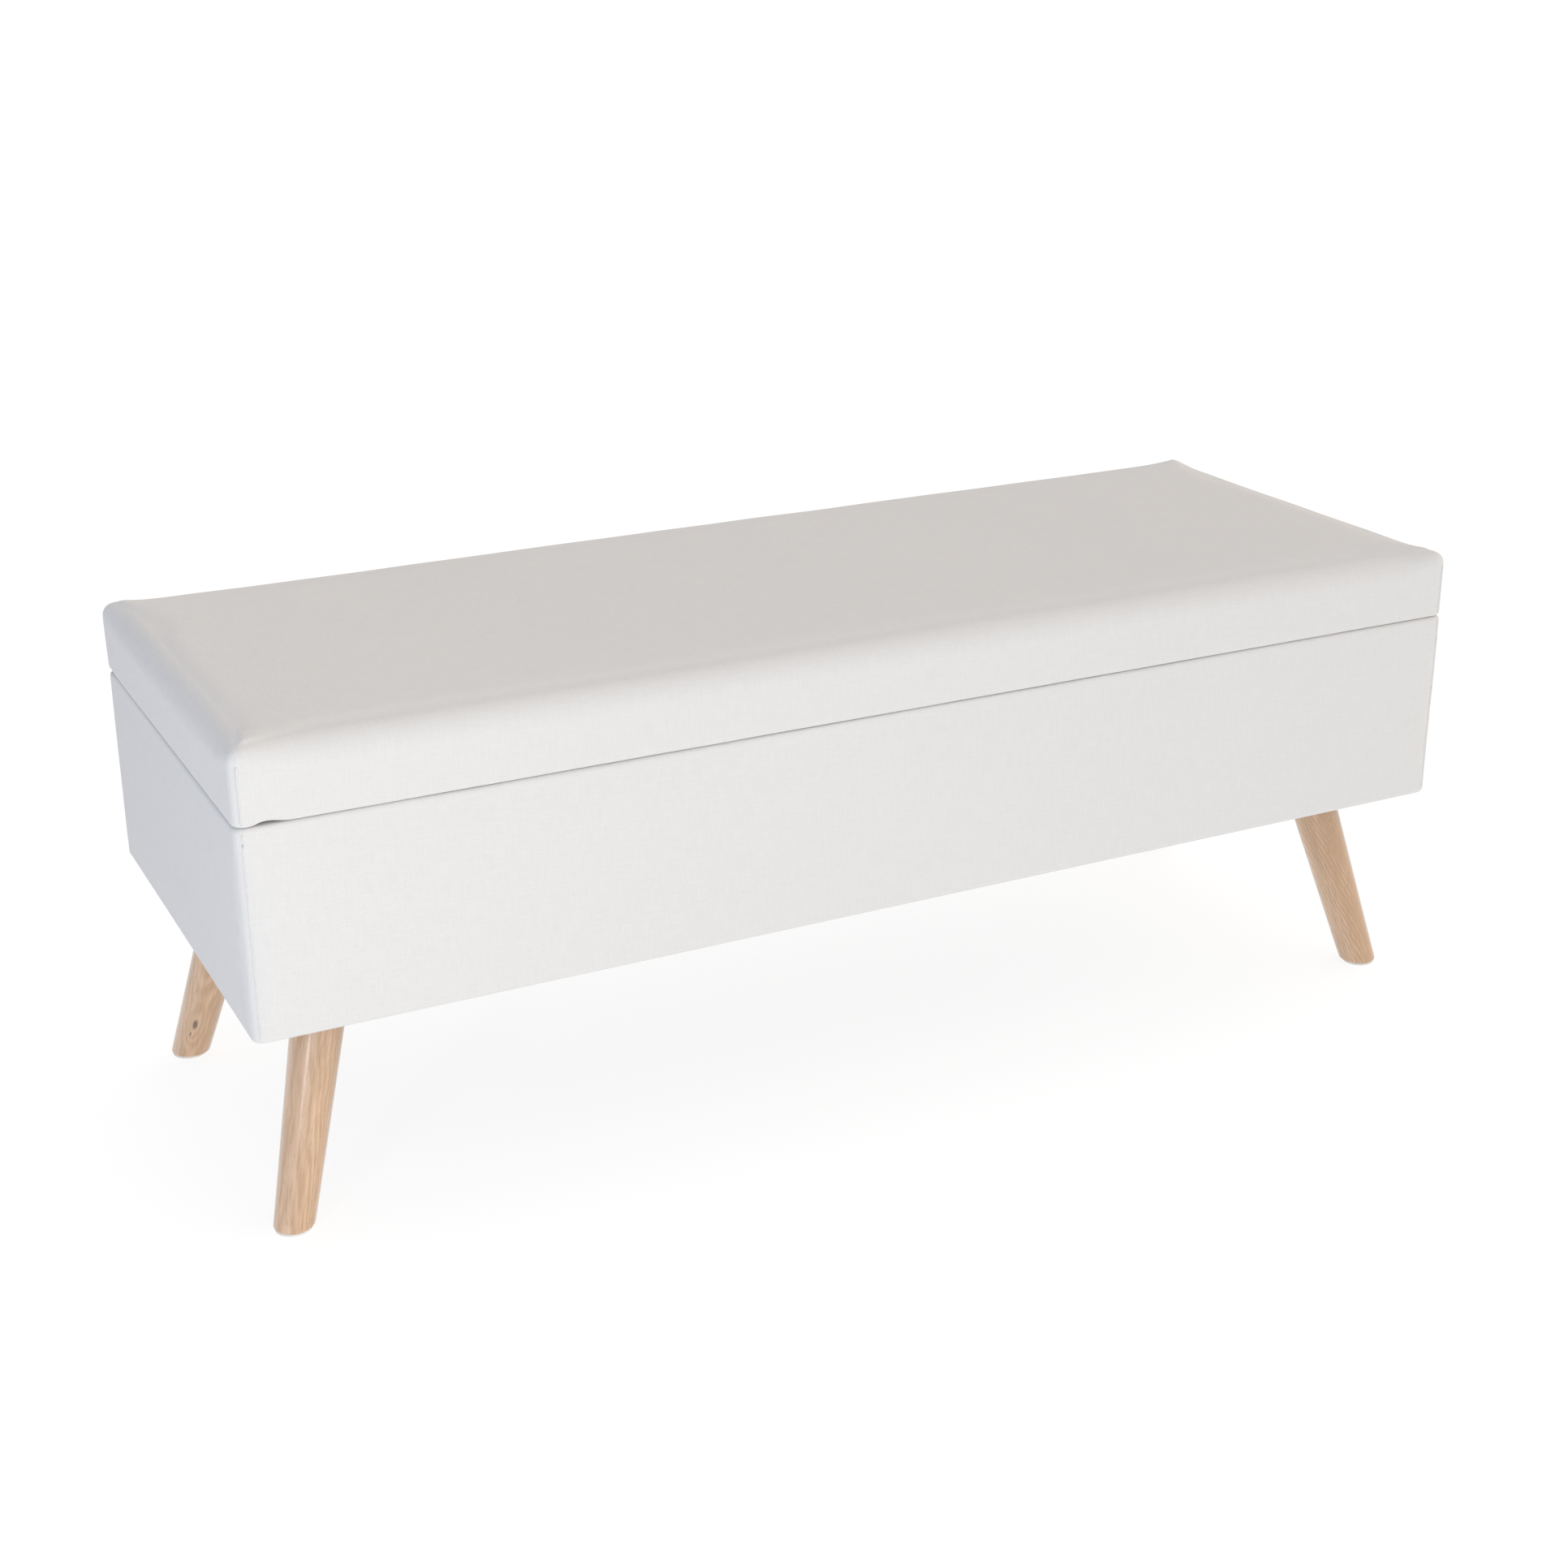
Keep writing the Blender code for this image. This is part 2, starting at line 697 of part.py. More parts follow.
def hinge(side, sign, on_body, on_lid):
    """One butt hinge with its screws; returns what stays with the box and what turns with the lid."""
    centre_x = sign * HINGE_X
    half = HINGE_LENGTH / 2
    inner = half - HINGE_KNUCKLE
    body_leaf = hinge_leaf(
        f"hinge_body_leaf_{side}",
        centre_x,
        BODY_TOP + GAP,
        ((-half, -inner - GAP / 2), (inner + GAP / 2, half)),
    )
    lid_leaf = hinge_leaf(
        f"hinge_lid_leaf_{side}",
        centre_x,
        LID_LEAF_BOTTOM,
        ((GAP / 2 - inner, inner - GAP / 2),),
    )
    fixed = [body_leaf, hinge_pin(side, centre_x)]
    turning = [lid_leaf]
    for place, shift in (("outer", sign), ("inner", -sign)):
        x = centre_x + shift * HINGE_SCREW_X
        fixed.append(fasten(
            f"hinge_screw_body_{side}_{place}",
            (x, HINGE_SCREW_Y, BODY_LEAF_TOP),
            (0.0, 0.0, 1.0),
            [body_leaf, *on_body],
        ))
        turning.append(fasten(
            f"hinge_screw_lid_{side}_{place}",
            (x, HINGE_SCREW_Y, LID_LEAF_BOTTOM),
            (0.0, 0.0, -1.0),
            [lid_leaf, *on_lid],
        ))
    return fixed, turning


# ---- stays -----------------------------------------------------------------------------------------
def layer(sign, depth):
    """The X of a stay's layer, counted inwards from the clear face of an end wall."""
    return sign * (CLEAR_END - depth)


def plate(name, sign, depths, low, high, collection=PARTS):
    """A flat plate between two layers, and between two (y, z) corners."""
    near, far = sorted(layer(sign, depth) for depth in depths)
    return box(name, (near, *low), (far, *high), collection)


def stud(piece, sign, pivot, start, end, head_to):
    """Add a riveted stud to a piece: a pin between two layers, and its head beyond them."""
    def on_layer(depth):
        return (layer(sign, depth), pivot.y, pivot.z)

    pin = rod(f"{piece.name}_stud", on_layer(start), on_layer(end), STUD_RADIUS, CUTTERS)
    head = rod(f"{piece.name}_head", on_layer(end), on_layer(head_to), STUD_HEAD, CUTTERS)
    join(pin, head)
    join(piece, pin)


def arm(name, sign, depths, pivot, elbow):
    """A flat arm with round ends between two pivots, before its holes."""
    direction = Vector((1.0, 0.0, 0.0)).to_track_quat("Z", "Y").to_matrix().to_4x4()
    near, far = sorted(layer(sign, depth) for depth in depths)
    shape = bmesh.new()
    for end in (pivot, elbow):
        centre = Vector(((near + far) / 2, end.y, end.z)) - Vector((0.0, pivot.y, pivot.z))
        bmesh.ops.create_cone(
            shape,
            cap_ends=True,
            segments=ROUND,
            radius1=ARM_WIDTH / 2,
            radius2=ARM_WIDTH / 2,
            depth=far - near,
            matrix=Matrix.Translation(centre) @ direction,
        )
    bmesh.ops.delete(shape, geom=shape.faces[:], context="FACES_ONLY")
    bmesh.ops.delete(shape, geom=shape.edges[:], context="EDGES_FACES")
    hull = bmesh.ops.convex_hull(shape, input=shape.verts)
    inner = [item for item in hull["geom_interior"] if isinstance(item, bmesh.types.BMVert)]
    bmesh.ops.delete(shape, geom=inner, context="VERTS")
    bmesh.ops.dissolve_limit(
        shape, angle_limit=math.radians(1), verts=shape.verts, edges=shape.edges
    )
    bmesh.ops.recalc_face_normals(shape, faces=shape.faces)
    mesh = bpy.data.meshes.new(name)
    shape.to_mesh(mesh)
    shape.free()
    made = object_from(name, mesh, PARTS, (0.0, pivot.y, pivot.z))
    finish(made, "steel")
    return made


def pivot_hole(piece, sign, pivot, depths):
    """Cut a running hole for a stud through an arm."""
    start = (layer(sign, depths[0] - ARM_SPACE / 2), pivot.y, pivot.z)
    end = (layer(sign, depths[1] + ARM_SPACE / 2), pivot.y, pivot.z)
    name = f"{piece.name}_hole_{len(piece.modifiers)}"
    cut(piece, rod(name, start, end, STUD_RADIUS + STUD_PLAY, CUTTERS))


def body_bracket(side, sign, through):
    """The stay's plate on the end wall, with its stud and screws."""
    half = BRACKET_LENGTH / 2
    made = plate(
        f"stay_body_bracket_{side}",
        sign,
        (BRACKET_IN, BRACKET_OUT),
        (BODY_PIVOT.y - half, BODY_PIVOT.z - BODY_BRACKET_DROP),
        (BODY_PIVOT.y + half, BODY_PIVOT.z + BODY_BRACKET_RISE),
    )
    head_start = LOWER_OUT + GAP
    stud(made, sign, BODY_PIVOT, BRACKET_OUT - ARM_THICK / 2, head_start, head_start + STUD_HEAD_DEPTH)
    screws = []
    for place, shift in (("front", -BRACKET_SCREW_Y), ("rear", BRACKET_SCREW_Y)):
        seat = (layer(sign, BRACKET_OUT), BODY_PIVOT.y + shift, BODY_PIVOT.z - BODY_SCREW_DROP)
        screws.append(fasten(
            f"stay_screw_body_{side}_{place}", seat, (-sign, 0.0, 0.0), [made, *through]
        ))
    finish(made, "steel")
    return [made, *screws]


def lid_bracket(side, sign, through):
    """The stay's angle under the lid, with its stud and screws."""
    half = BRACKET_LENGTH / 2
    top = LID_BOTTOM - GAP
    wall = plate(
        f"stay_lid_bracket_{side}",
        sign,
        (FLANGE_IN, FLANGE_IN + LID_BRACKET_WALL),
        (LID_PIVOT.y - half, LID_PIVOT.z - ARM_WIDTH / 2),
        (LID_PIVOT.y + half, top),
    )
    flange = plate(
        f"stay_lid_flange_{side}",
        sign,
        (FLANGE_IN + LID_BRACKET_WALL / 2, FLANGE_IN + LID_FLANGE),
        (LID_PIVOT.y - half, top - LID_BRACKET_WALL),
        (LID_PIVOT.y + half, top),
        CUTTERS,
    )
    join(wall, flange)
    head_start = UPPER_IN - GAP
    stud(
        wall,
        sign,
        LID_PIVOT,
        FLANGE_IN + LID_BRACKET_WALL / 2,
        head_start,
        head_start - STUD_HEAD_DEPTH,
    )
    screws = []
    screw_depth = FLANGE_IN + (LID_BRACKET_WALL + LID_FLANGE) / 2
    for place, shift in (("front", -BRACKET_SCREW_Y), ("rear", BRACKET_SCREW_Y)):
        seat = (layer(sign, screw_depth), LID_PIVOT.y + shift, top - LID_BRACKET_WALL)
        screws.append(fasten(
            f"stay_screw_lid_{side}_{place}", seat, (0.0, 0.0, -1.0), [wall, *through]
        ))
    finish(wall, "steel")
    return [wall, *screws]


def stay_arms(side, sign):
    """The two arms: the lower one carries the elbow's rivet, which runs in a hole of the upper one."""
    lower = arm(f"stay_lower_arm_{side}", sign, (LOWER_IN, LOWER_OUT), BODY_PIVOT, ELBOW)
    pivot_hole(lower, sign, BODY_PIVOT, (LOWER_IN, LOWER_OUT))
    head_start = UPPER_OUT + GAP
    stud(lower, sign, ELBOW, LOWER_OUT - ARM_THICK / 2, head_start, head_start + STUD_HEAD_DEPTH)
    upper = arm(f"stay_upper_arm_{side}", sign, (UPPER_IN, UPPER_OUT), LID_PIVOT, ELBOW)
    pivot_hole(upper, sign, LID_PIVOT, (UPPER_IN, UPPER_OUT))
    pivot_hole(upper, sign, ELBOW, (UPPER_IN, UPPER_OUT))
    return lower, upper


# ---- assembly --------------------------------------------------------------------------------------
def build():
    """Make every piece, and parent each to the empty of the body that it moves with."""
    boards = box_boards()
    sleeve = body_cover()
    lining = storage_lining()
    on_box = [*boards.values(), sleeve, lining, dust_cover()]
    top_board = lid_board()
    padded_cover = lid_cover()
    under_cloth = lid_underside_cloth()
    on_lid = [top_board, lid_foam(), padded_cover, under_cloth]
    for corner, (sx, sy) in CORNERS.items():
        on_box.append(leg(corner, sx, sy))
        on_box.append(leg_block(corner, sx, sy))
        on_box.append(leg_bolt(corner, sx, sy))
        on_box.append(foot_glide(corner, sx, sy))
    lid = body_empty("lid_on_hinge", HINGE_AXIS)
    for side, sign in SIDES.items():
        on_box.append(lid_bumper(side, sign))
        fixed, turning = hinge(side, sign, [boards["rear_panel"], sleeve], [top_board, padded_cover])
        on_box.extend(fixed)
        on_lid.extend(turning)
        on_box.extend(body_bracket(side, sign, [boards[f"{side}_panel"], lining]))
        on_lid.extend(lid_bracket(side, sign, [top_board, under_cloth]))
        lower, upper = stay_arms(side, sign)
        carry([lower], body_empty(f"lower_arm_on_pivot_{side}", BODY_PIVOT))
        carry([upper], body_empty(f"upper_arm_on_pivot_{side}", LID_PIVOT))
    carry(on_box, body_empty("box_on_floor"))
    carry(on_lid, lid)


build()
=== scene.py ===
# %% [markdown]
# # A storage bench, step by step
#
# The bench is an upholstered box on four splayed wooden legs, with a padded lid on two hinges.
# The solid design already exists: its boards, hinges, folding stays and screws stand in the right
# place and never move here.  Every lesson below takes one soft or visible piece of that design and
# gives it the shape and the finish that the real one has.

# %% Load the solid design
import json
import math

import bmesh
import bpy
import numpy as np
from mathutils import Matrix, Vector, noise

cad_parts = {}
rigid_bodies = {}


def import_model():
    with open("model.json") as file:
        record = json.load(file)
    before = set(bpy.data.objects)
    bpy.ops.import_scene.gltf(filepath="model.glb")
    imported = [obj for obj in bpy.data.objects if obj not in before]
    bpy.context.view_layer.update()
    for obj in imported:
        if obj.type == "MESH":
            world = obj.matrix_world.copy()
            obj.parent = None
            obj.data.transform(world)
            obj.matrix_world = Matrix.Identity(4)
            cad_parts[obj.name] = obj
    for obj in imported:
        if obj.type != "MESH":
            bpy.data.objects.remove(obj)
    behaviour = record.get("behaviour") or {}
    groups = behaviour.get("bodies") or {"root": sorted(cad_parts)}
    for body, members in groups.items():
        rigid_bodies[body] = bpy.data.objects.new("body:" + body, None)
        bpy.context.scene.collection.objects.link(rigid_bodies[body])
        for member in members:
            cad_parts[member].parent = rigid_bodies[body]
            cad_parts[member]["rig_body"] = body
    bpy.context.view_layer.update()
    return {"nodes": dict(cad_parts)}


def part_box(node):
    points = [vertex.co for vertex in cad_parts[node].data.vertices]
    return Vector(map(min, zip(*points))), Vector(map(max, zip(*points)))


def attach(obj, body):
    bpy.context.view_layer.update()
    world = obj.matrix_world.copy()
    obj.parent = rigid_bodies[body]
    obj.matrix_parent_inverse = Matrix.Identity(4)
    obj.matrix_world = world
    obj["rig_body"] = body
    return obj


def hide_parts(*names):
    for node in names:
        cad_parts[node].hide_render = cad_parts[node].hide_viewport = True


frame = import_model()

MM = 0.001
nodes = frame["nodes"]

# %% [markdown]
# ## Where the eye stands
#
# A camera can be aimed by hand or placed by numbers.  Numbers are kinder: the same view comes back
# each time.  This one stands in front of the bench's left end, a little above a sitter's head, and
# looks down on the lid.  A longish lens keeps the box's edges nearly parallel.

# %% Camera
CAMERA_AT = Vector((-0.984, -1.929, 1.080))
CAMERA_TURN = math.radians(-26.79)     # to the right of straight ahead
CAMERA_DOWN = math.radians(21.26)
CAMERA_ROLL = math.radians(-0.32)
CAMERA_LENS = 54.57                    # millimetres, on a 36 mm wide sensor

camera_data = bpy.data.cameras.new("camera")
camera_data.lens = CAMERA_LENS
camera_data.sensor_width = 36.0
camera_data.clip_end = 60.0
camera = bpy.data.objects.new("camera", camera_data)
bpy.context.scene.collection.objects.link(camera)
aim = Matrix.Rotation(CAMERA_TURN, 4, "Z") @ Matrix.Rotation(math.pi / 2 - CAMERA_DOWN, 4, "X")
camera.matrix_world = Matrix.Translation(CAMERA_AT) @ aim @ Matrix.Rotation(CAMERA_ROLL, 4, "Z")
bpy.context.scene.camera = camera
print("camera at", tuple(CAMERA_AT), "lens", CAMERA_LENS)

# %% [markdown]
# ## Studio
#
# White cloth only looks white when soft light wraps round it, and it only shows its shape when one
# side gets a little more.  So the floor is pale and gives some light of its own, and the room's
# light is dim and bluish at the left and bright and warm at the right.  A broad lamp stands low in
# front of the bench, and a narrow one at its front left puts a streak on the nearest leg.

# %% Floor, room light and lamps
FLOOR_SIDE = 90.0
FLOOR_PAINT = 0.20
FLOOR_GLOW = 0.85
ROOM_LEFT = (0.12, 0.20, 0.36)
ROOM_RIGHT = (1.57, 1.43, 1.24)
FRONT_LAMP_COLOUR = (0.84, 0.93, 1.0)
SIDE_LAMP_COLOUR = (0.88, 0.93, 1.0)


def glow(name, left, right):
    """The room's soft light, which changes smoothly from the bench's left to its right."""
    world = bpy.data.worlds.new(name)
    world.use_nodes = True
    tree = world.node_tree
    direction = tree.nodes.new("ShaderNodeTexCoord")
    parts = tree.nodes.new("ShaderNodeSeparateXYZ")
    share = tree.nodes.new("ShaderNodeMapRange")
    share.inputs["From Min"].default_value = -1.0
    mix = tree.nodes.new("ShaderNodeMix")
    mix.data_type = "RGBA"
    colours = [socket for socket in mix.inputs if socket.type == "RGBA"]
    for socket, colour in zip(colours, (left, right)):
        socket.default_value = (*colour, 1.0)
    tree.links.new(direction.outputs["Generated"], parts.inputs[0])
    tree.links.new(parts.outputs[0], share.inputs["Value"])
    tree.links.new(share.outputs[0], mix.inputs["Factor"])
    blended = [socket for socket in mix.outputs if socket.type == "RGBA"][0]
    tree.links.new(blended, tree.nodes["Background"].inputs["Color"])
    bpy.context.scene.world = world


def lamp(name, at, target, width, height, power, colour):
    """A broad flat lamp that points at a target."""
    data = bpy.data.lights.new(name, "AREA")
    data.shape = "RECTANGLE"
    data.size = width
    data.size_y = height
    data.energy = power
    data.color = colour
    made = bpy.data.objects.new(name, data)
    made.location = at
    direction = Vector(target) - Vector(at)
    made.rotation_euler = direction.to_track_quat("-Z", "Y").to_euler()
    bpy.context.scene.collection.objects.link(made)


def studio_floor():
    """A wide pale sheet under the bench that shines a little, so that shadows on it stay faint."""
    shape = bmesh.new()
    bmesh.ops.create_grid(shape, x_segments=2, y_segments=2, size=FLOOR_SIDE / 2)
    mesh = bpy.data.meshes.new("studio_floor")
    shape.to_mesh(mesh)
    shape.free()
    floor = bpy.data.objects.new("studio_floor", mesh)
    bpy.context.scene.collection.objects.link(floor)
    paint = bpy.data.materials.new("floor_white")
    paint.use_nodes = True
    shader = paint.node_tree.nodes["Principled BSDF"]
    shader.inputs["Base Color"].default_value = (FLOOR_PAINT, FLOOR_PAINT, FLOOR_PAINT, 1.0)
    shader.inputs["Roughness"].default_value = 0.9
    shader.inputs["Emission Color"].default_value = (1.0, 1.0, 1.0, 1.0)
    shader.inputs["Emission Strength"].default_value = FLOOR_GLOW
    mesh.materials.append(paint)


glow("room", ROOM_LEFT, ROOM_RIGHT)
studio_floor()
lamp("front_lamp", (-1.0, -2.3, 0.7), (-0.35, 0.0, 0.25), 1.2, 0.9, 8.0, FRONT_LAMP_COLOUR)
lamp("side_lamp", (-1.98, -1.6, 0.66), (-0.55, -0.16, 0.2), 0.28, 0.9, 8.5, SIDE_LAMP_COLOUR)
bpy.context.scene.view_settings.view_transform = "Standard"
bpy.context.scene.view_settings.look = "None"

# %% [markdown]
# ## A shorthand for finishes
#
# A procedural finish is a small machine of nodes.  Written out in full, every node takes four lines
# and the idea gets lost.  The little class below lets a recipe read almost like arithmetic, so each
# later cell can say what the finish is made of.

# %% Recipe helper
class Recipe:
    """A material under construction, with short names for the nodes that the recipes use."""

    def __init__(self, name, roughness, metallic=0.0):
        self.material = bpy.data.materials.new(name)
        self.material.use_nodes = True
        self.tree = self.material.node_tree
        self.shader = self.tree.nodes["Principled BSDF"]
        self.set("Roughness", roughness)
        self.set("Metallic", metallic)
        self.place = self.tree.nodes.new("ShaderNodeTexCoord")

    def set(self, socket, value):
        self.shader.inputs[socket].default_value = value

    def feed(self, socket, value):
        self.tree.links.new(value, self.shader.inputs[socket])

    def plug(self, socket, value):
        if isinstance(value, (int, float, tuple)):
            socket.default_value = value
        else:
            self.tree.links.new(value, socket)

    def maths(self, operation, *values, clamp=False):
        made = self.tree.nodes.new("ShaderNodeMath")
        made.operation = operation
        made.use_clamp = clamp
        for socket, value in zip(made.inputs, values):
            self.plug(socket, value)
        return made.outputs[0]

    def add(self, a, b):
        return self.maths("ADD", a, b)

    def take(self, a, b):
        return self.maths("SUBTRACT", a, b)

    def times(self, a, b):
        return self.maths("MULTIPLY", a, b)

    def split(self, vector):
        made = self.tree.nodes.new("ShaderNodeSeparateXYZ")
        self.plug(made.inputs[0], vector)
        return made.outputs[0], made.outputs[1], made.outputs[2]

    def point(self, x, y, z):
        made = self.tree.nodes.new("ShaderNodeCombineXYZ")
        for socket, value in zip(made.inputs, (x, y, z)):
            self.plug(socket, value)
        return made.outputs[0]

    def noise(self, vector, scale, detail=2.0, rough=0.5):
        made = self.tree.nodes.new("ShaderNodeTexNoise")
        self.plug(made.inputs["Vector"], vector)
        made.inputs["Scale"].default_value = scale
        made.inputs["Detail"].default_value = detail
        made.inputs["Roughness"].default_value = rough
        return made.outputs["Fac"]

    def stretched(self, axes, factors, detail, rough=0.5, shift=0.0):
        """Noise with a scale of its own along each axis, and a shift along the last one."""
        parts = [self.times(axis, factor) for axis, factor in zip(axes, factors)]
        if len(parts) < 3:
            parts.append(shift)
        elif shift:
            parts[2] = self.add(parts[2], shift)
        return self.noise(self.point(*parts), 1.0, detail, rough)

    def span(self, value, low, high, to_low=0.0, to_high=1.0):
        made = self.tree.nodes.new("ShaderNodeMapRange")
        made.interpolation_type = "SMOOTHSTEP"
        for socket, number in zip(made.inputs[:5], (value, low, high, to_low, to_high)):
            self.plug(socket, number)
        return made.outputs[0]

    def blend(self, share, first, second):
        made = self.tree.nodes.new("ShaderNodeMix")
        made.data_type = "RGBA"
        self.plug(made.inputs["Factor"], share)
        colours = [socket for socket in made.inputs if socket.type == "RGBA"]
        for socket, value in zip(colours, (first, second)):
            self.plug(socket, (*value, 1.0) if isinstance(value, tuple) else value)
        return [socket for socket in made.outputs if socket.type == "RGBA"][0]

    def relief(self, height, depth, strength=1.0):
        made = self.tree.nodes.new("ShaderNodeBump")
        made.inputs["Strength"].default_value = strength
        made.inputs["Distance"].default_value = depth
        self.plug(made.inputs["Height"], height)
        self.feed("Normal", made.outputs[0])

    def cloth_plane(self):
        """Two coordinates that lie in the cloth on every side of a boxy piece."""
        x, y, z = self.split(self.place.outputs["Object"])
        facing = [self.maths("ABSOLUTE", part) for part in self.split(self.place.outputs["Normal"])]
        beside = self.maths("GREATER_THAN", facing[0], facing[1])
        steep = self.maths("GREATER_THAN", facing[0], facing[2])
        on_end = self.times(beside, steep)
        above_x = self.maths("GREATER_THAN", facing[2], facing[0])
        above_y = self.maths("GREATER_THAN", facing[2], facing[1])
        on_top = self.times(above_x, above_y)
        across = self.add(x, self.times(on_end, self.take(y, x)))
        along = self.add(z, self.times(on_top, self.take(y, z)))
        return across, along

    def weave(self, across, along, pitch):
        """The height of a plain weave: each thread dips under the next one."""
        turn = math.pi / pitch
        warp = self.maths("SINE", self.times(across, turn))
        weft = self.maths("SINE", self.times(along, turn))
        over = self.times(warp, weft)
        lift = self.maths("MULTIPLY_ADD", over, 0.45, 0.55)
        drop = self.maths("MULTIPLY_ADD", over, -0.45, 0.55)
        return self.maths(
            "MAXIMUM",
            self.times(self.maths("ABSOLUTE", warp), lift),
            self.times(self.maths("ABSOLUTE", weft), drop),
        )


print("recipes can be written")

# %% [markdown]
# ## Upholstery cloth
#
# The cover is a fine off-white plain weave with the uneven threads of linen.  A picture of cloth
# would repeat; crossed sine waves never do, and they stay at their true size of about one thread per
# millimetre.  Long thin noise along both thread directions makes the slubs, wide noise makes the
# faint unevenness of bleached cloth, and a little sheen catches the fuzz at the edges.

# %% Upholstery, lining and dust cloth
def woven_cloth(name, light, dark, pitch, depth, sheen):
    """A plain weave with slubs, between a light and a dark colour."""
    recipe = Recipe(name, 0.9)
    across, along = recipe.cloth_plane()
    threads = recipe.weave(across, along, pitch)
    slub_weft = recipe.stretched((across, along), (45.0, 700.0), 3.0)
    slub_warp = recipe.stretched((across, along), (700.0, 45.0), 3.0, shift=3.0)
    slubs = recipe.times(recipe.add(slub_weft, slub_warp), 0.5)
    clouds = recipe.noise(recipe.place.outputs["Object"], 5.0, 2.0)
    uneven = recipe.add(recipe.times(recipe.span(slubs, 0.38, 0.62), 0.55), recipe.times(clouds, 0.30))
    share = recipe.add(uneven, recipe.times(threads, 0.20))
    recipe.feed("Base Color", recipe.blend(share, dark, light))
    recipe.feed("Roughness", recipe.span(slubs, 0.3, 0.7, 0.96, 0.82))
    recipe.set("Sheen Weight", sheen)
    recipe.set("Sheen Roughness", 0.45)
    recipe.set("Specular IOR Level", 0.25)
    recipe.relief(recipe.add(threads, recipe.times(slubs, 1.2)), depth, 0.8)
    return recipe.material


def spunbond_cloth(name, light, dark):
    """Thin felted cloth with a field of small heat-pressed dots."""
    recipe = Recipe(name, 0.85)
    place = recipe.place.outputs["Object"]
    across, along = recipe.cloth_plane()
    dots = recipe.weave(across, along, 1.6 * MM)
    fibres = recipe.noise(place, 900.0, 4.0, 0.7)
    clouds = recipe.noise(place, 12.0, 3.0)
    share = recipe.add(recipe.times(fibres, 0.5), recipe.times(clouds, 0.5))
    recipe.feed("Base Color", recipe.blend(recipe.span(share, 0.35, 0.65), dark, light))
    recipe.feed("Roughness", recipe.span(fibres, 0.3, 0.7, 0.75, 0.95))
    recipe.relief(recipe.add(dots, recipe.times(fibres, 0.6)), 0.25 * MM, 0.8)
    return recipe.material


# Each cloth: its light and dark colour, the pitch of its weave, the weave's depth and the sheen.
UPHOLSTERY = woven_cloth("upholstery_cloth", (0.735, 0.725, 0.712), (0.695, 0.685, 0.672),
                         1.0 * MM, 0.15 * MM, 0.12)
SEAM_CLOTH = woven_cloth("seam_cloth", (0.750, 0.740, 0.725), (0.710, 0.700, 0.685),
                         0.7 * MM, 0.10 * MM, 0.12)
LINING = woven_cloth("lining_cloth", (0.50, 0.49, 0.47), (0.42, 0.41, 0.39), 0.8 * MM, 0.15 * MM, 0.10)
DUST_CLOTH = spunbond_cloth("black_lining_cloth", (0.045, 0.045, 0.047), (0.020, 0.020, 0.022))
print("cloths:", [m.name for m in (UPHOLSTERY, SEAM_CLOTH, LINING, DUST_CLOTH)])

# %% [markdown]
# ## Lacquered leg wood
#
# Turned legs are cut from straight boards, so growth rings show as long stripes that open into
# arches where the cut grazes them.  The recipe measures the distance to a pith outside the leg,
# bends it with noise and with each knot, and turns it into stripes.  Fine stretched noise adds the
# fibres and short dark pores, and a clear coat gives the lacquer's crisp streak of light.
# Each leg's colour is also painted paler towards its lit left side and darker on the legs that stand in
# shade: painted light and shade.

# %% Leg wood and plywood
WOOD_LIGHT = (0.690, 0.460, 0.300)
WOOD_MIDDLE = (0.490, 0.300, 0.165)
LIT_SIDE_PAINTED_LIGHT = 16.0             # painted light: how much paler a leg's colour is painted towards its lit left side, and darker towards its right, for each metre across
WOOD_DARK = (0.300, 0.160, 0.075)
KNOT_BROWN = (0.095, 0.040, 0.020)


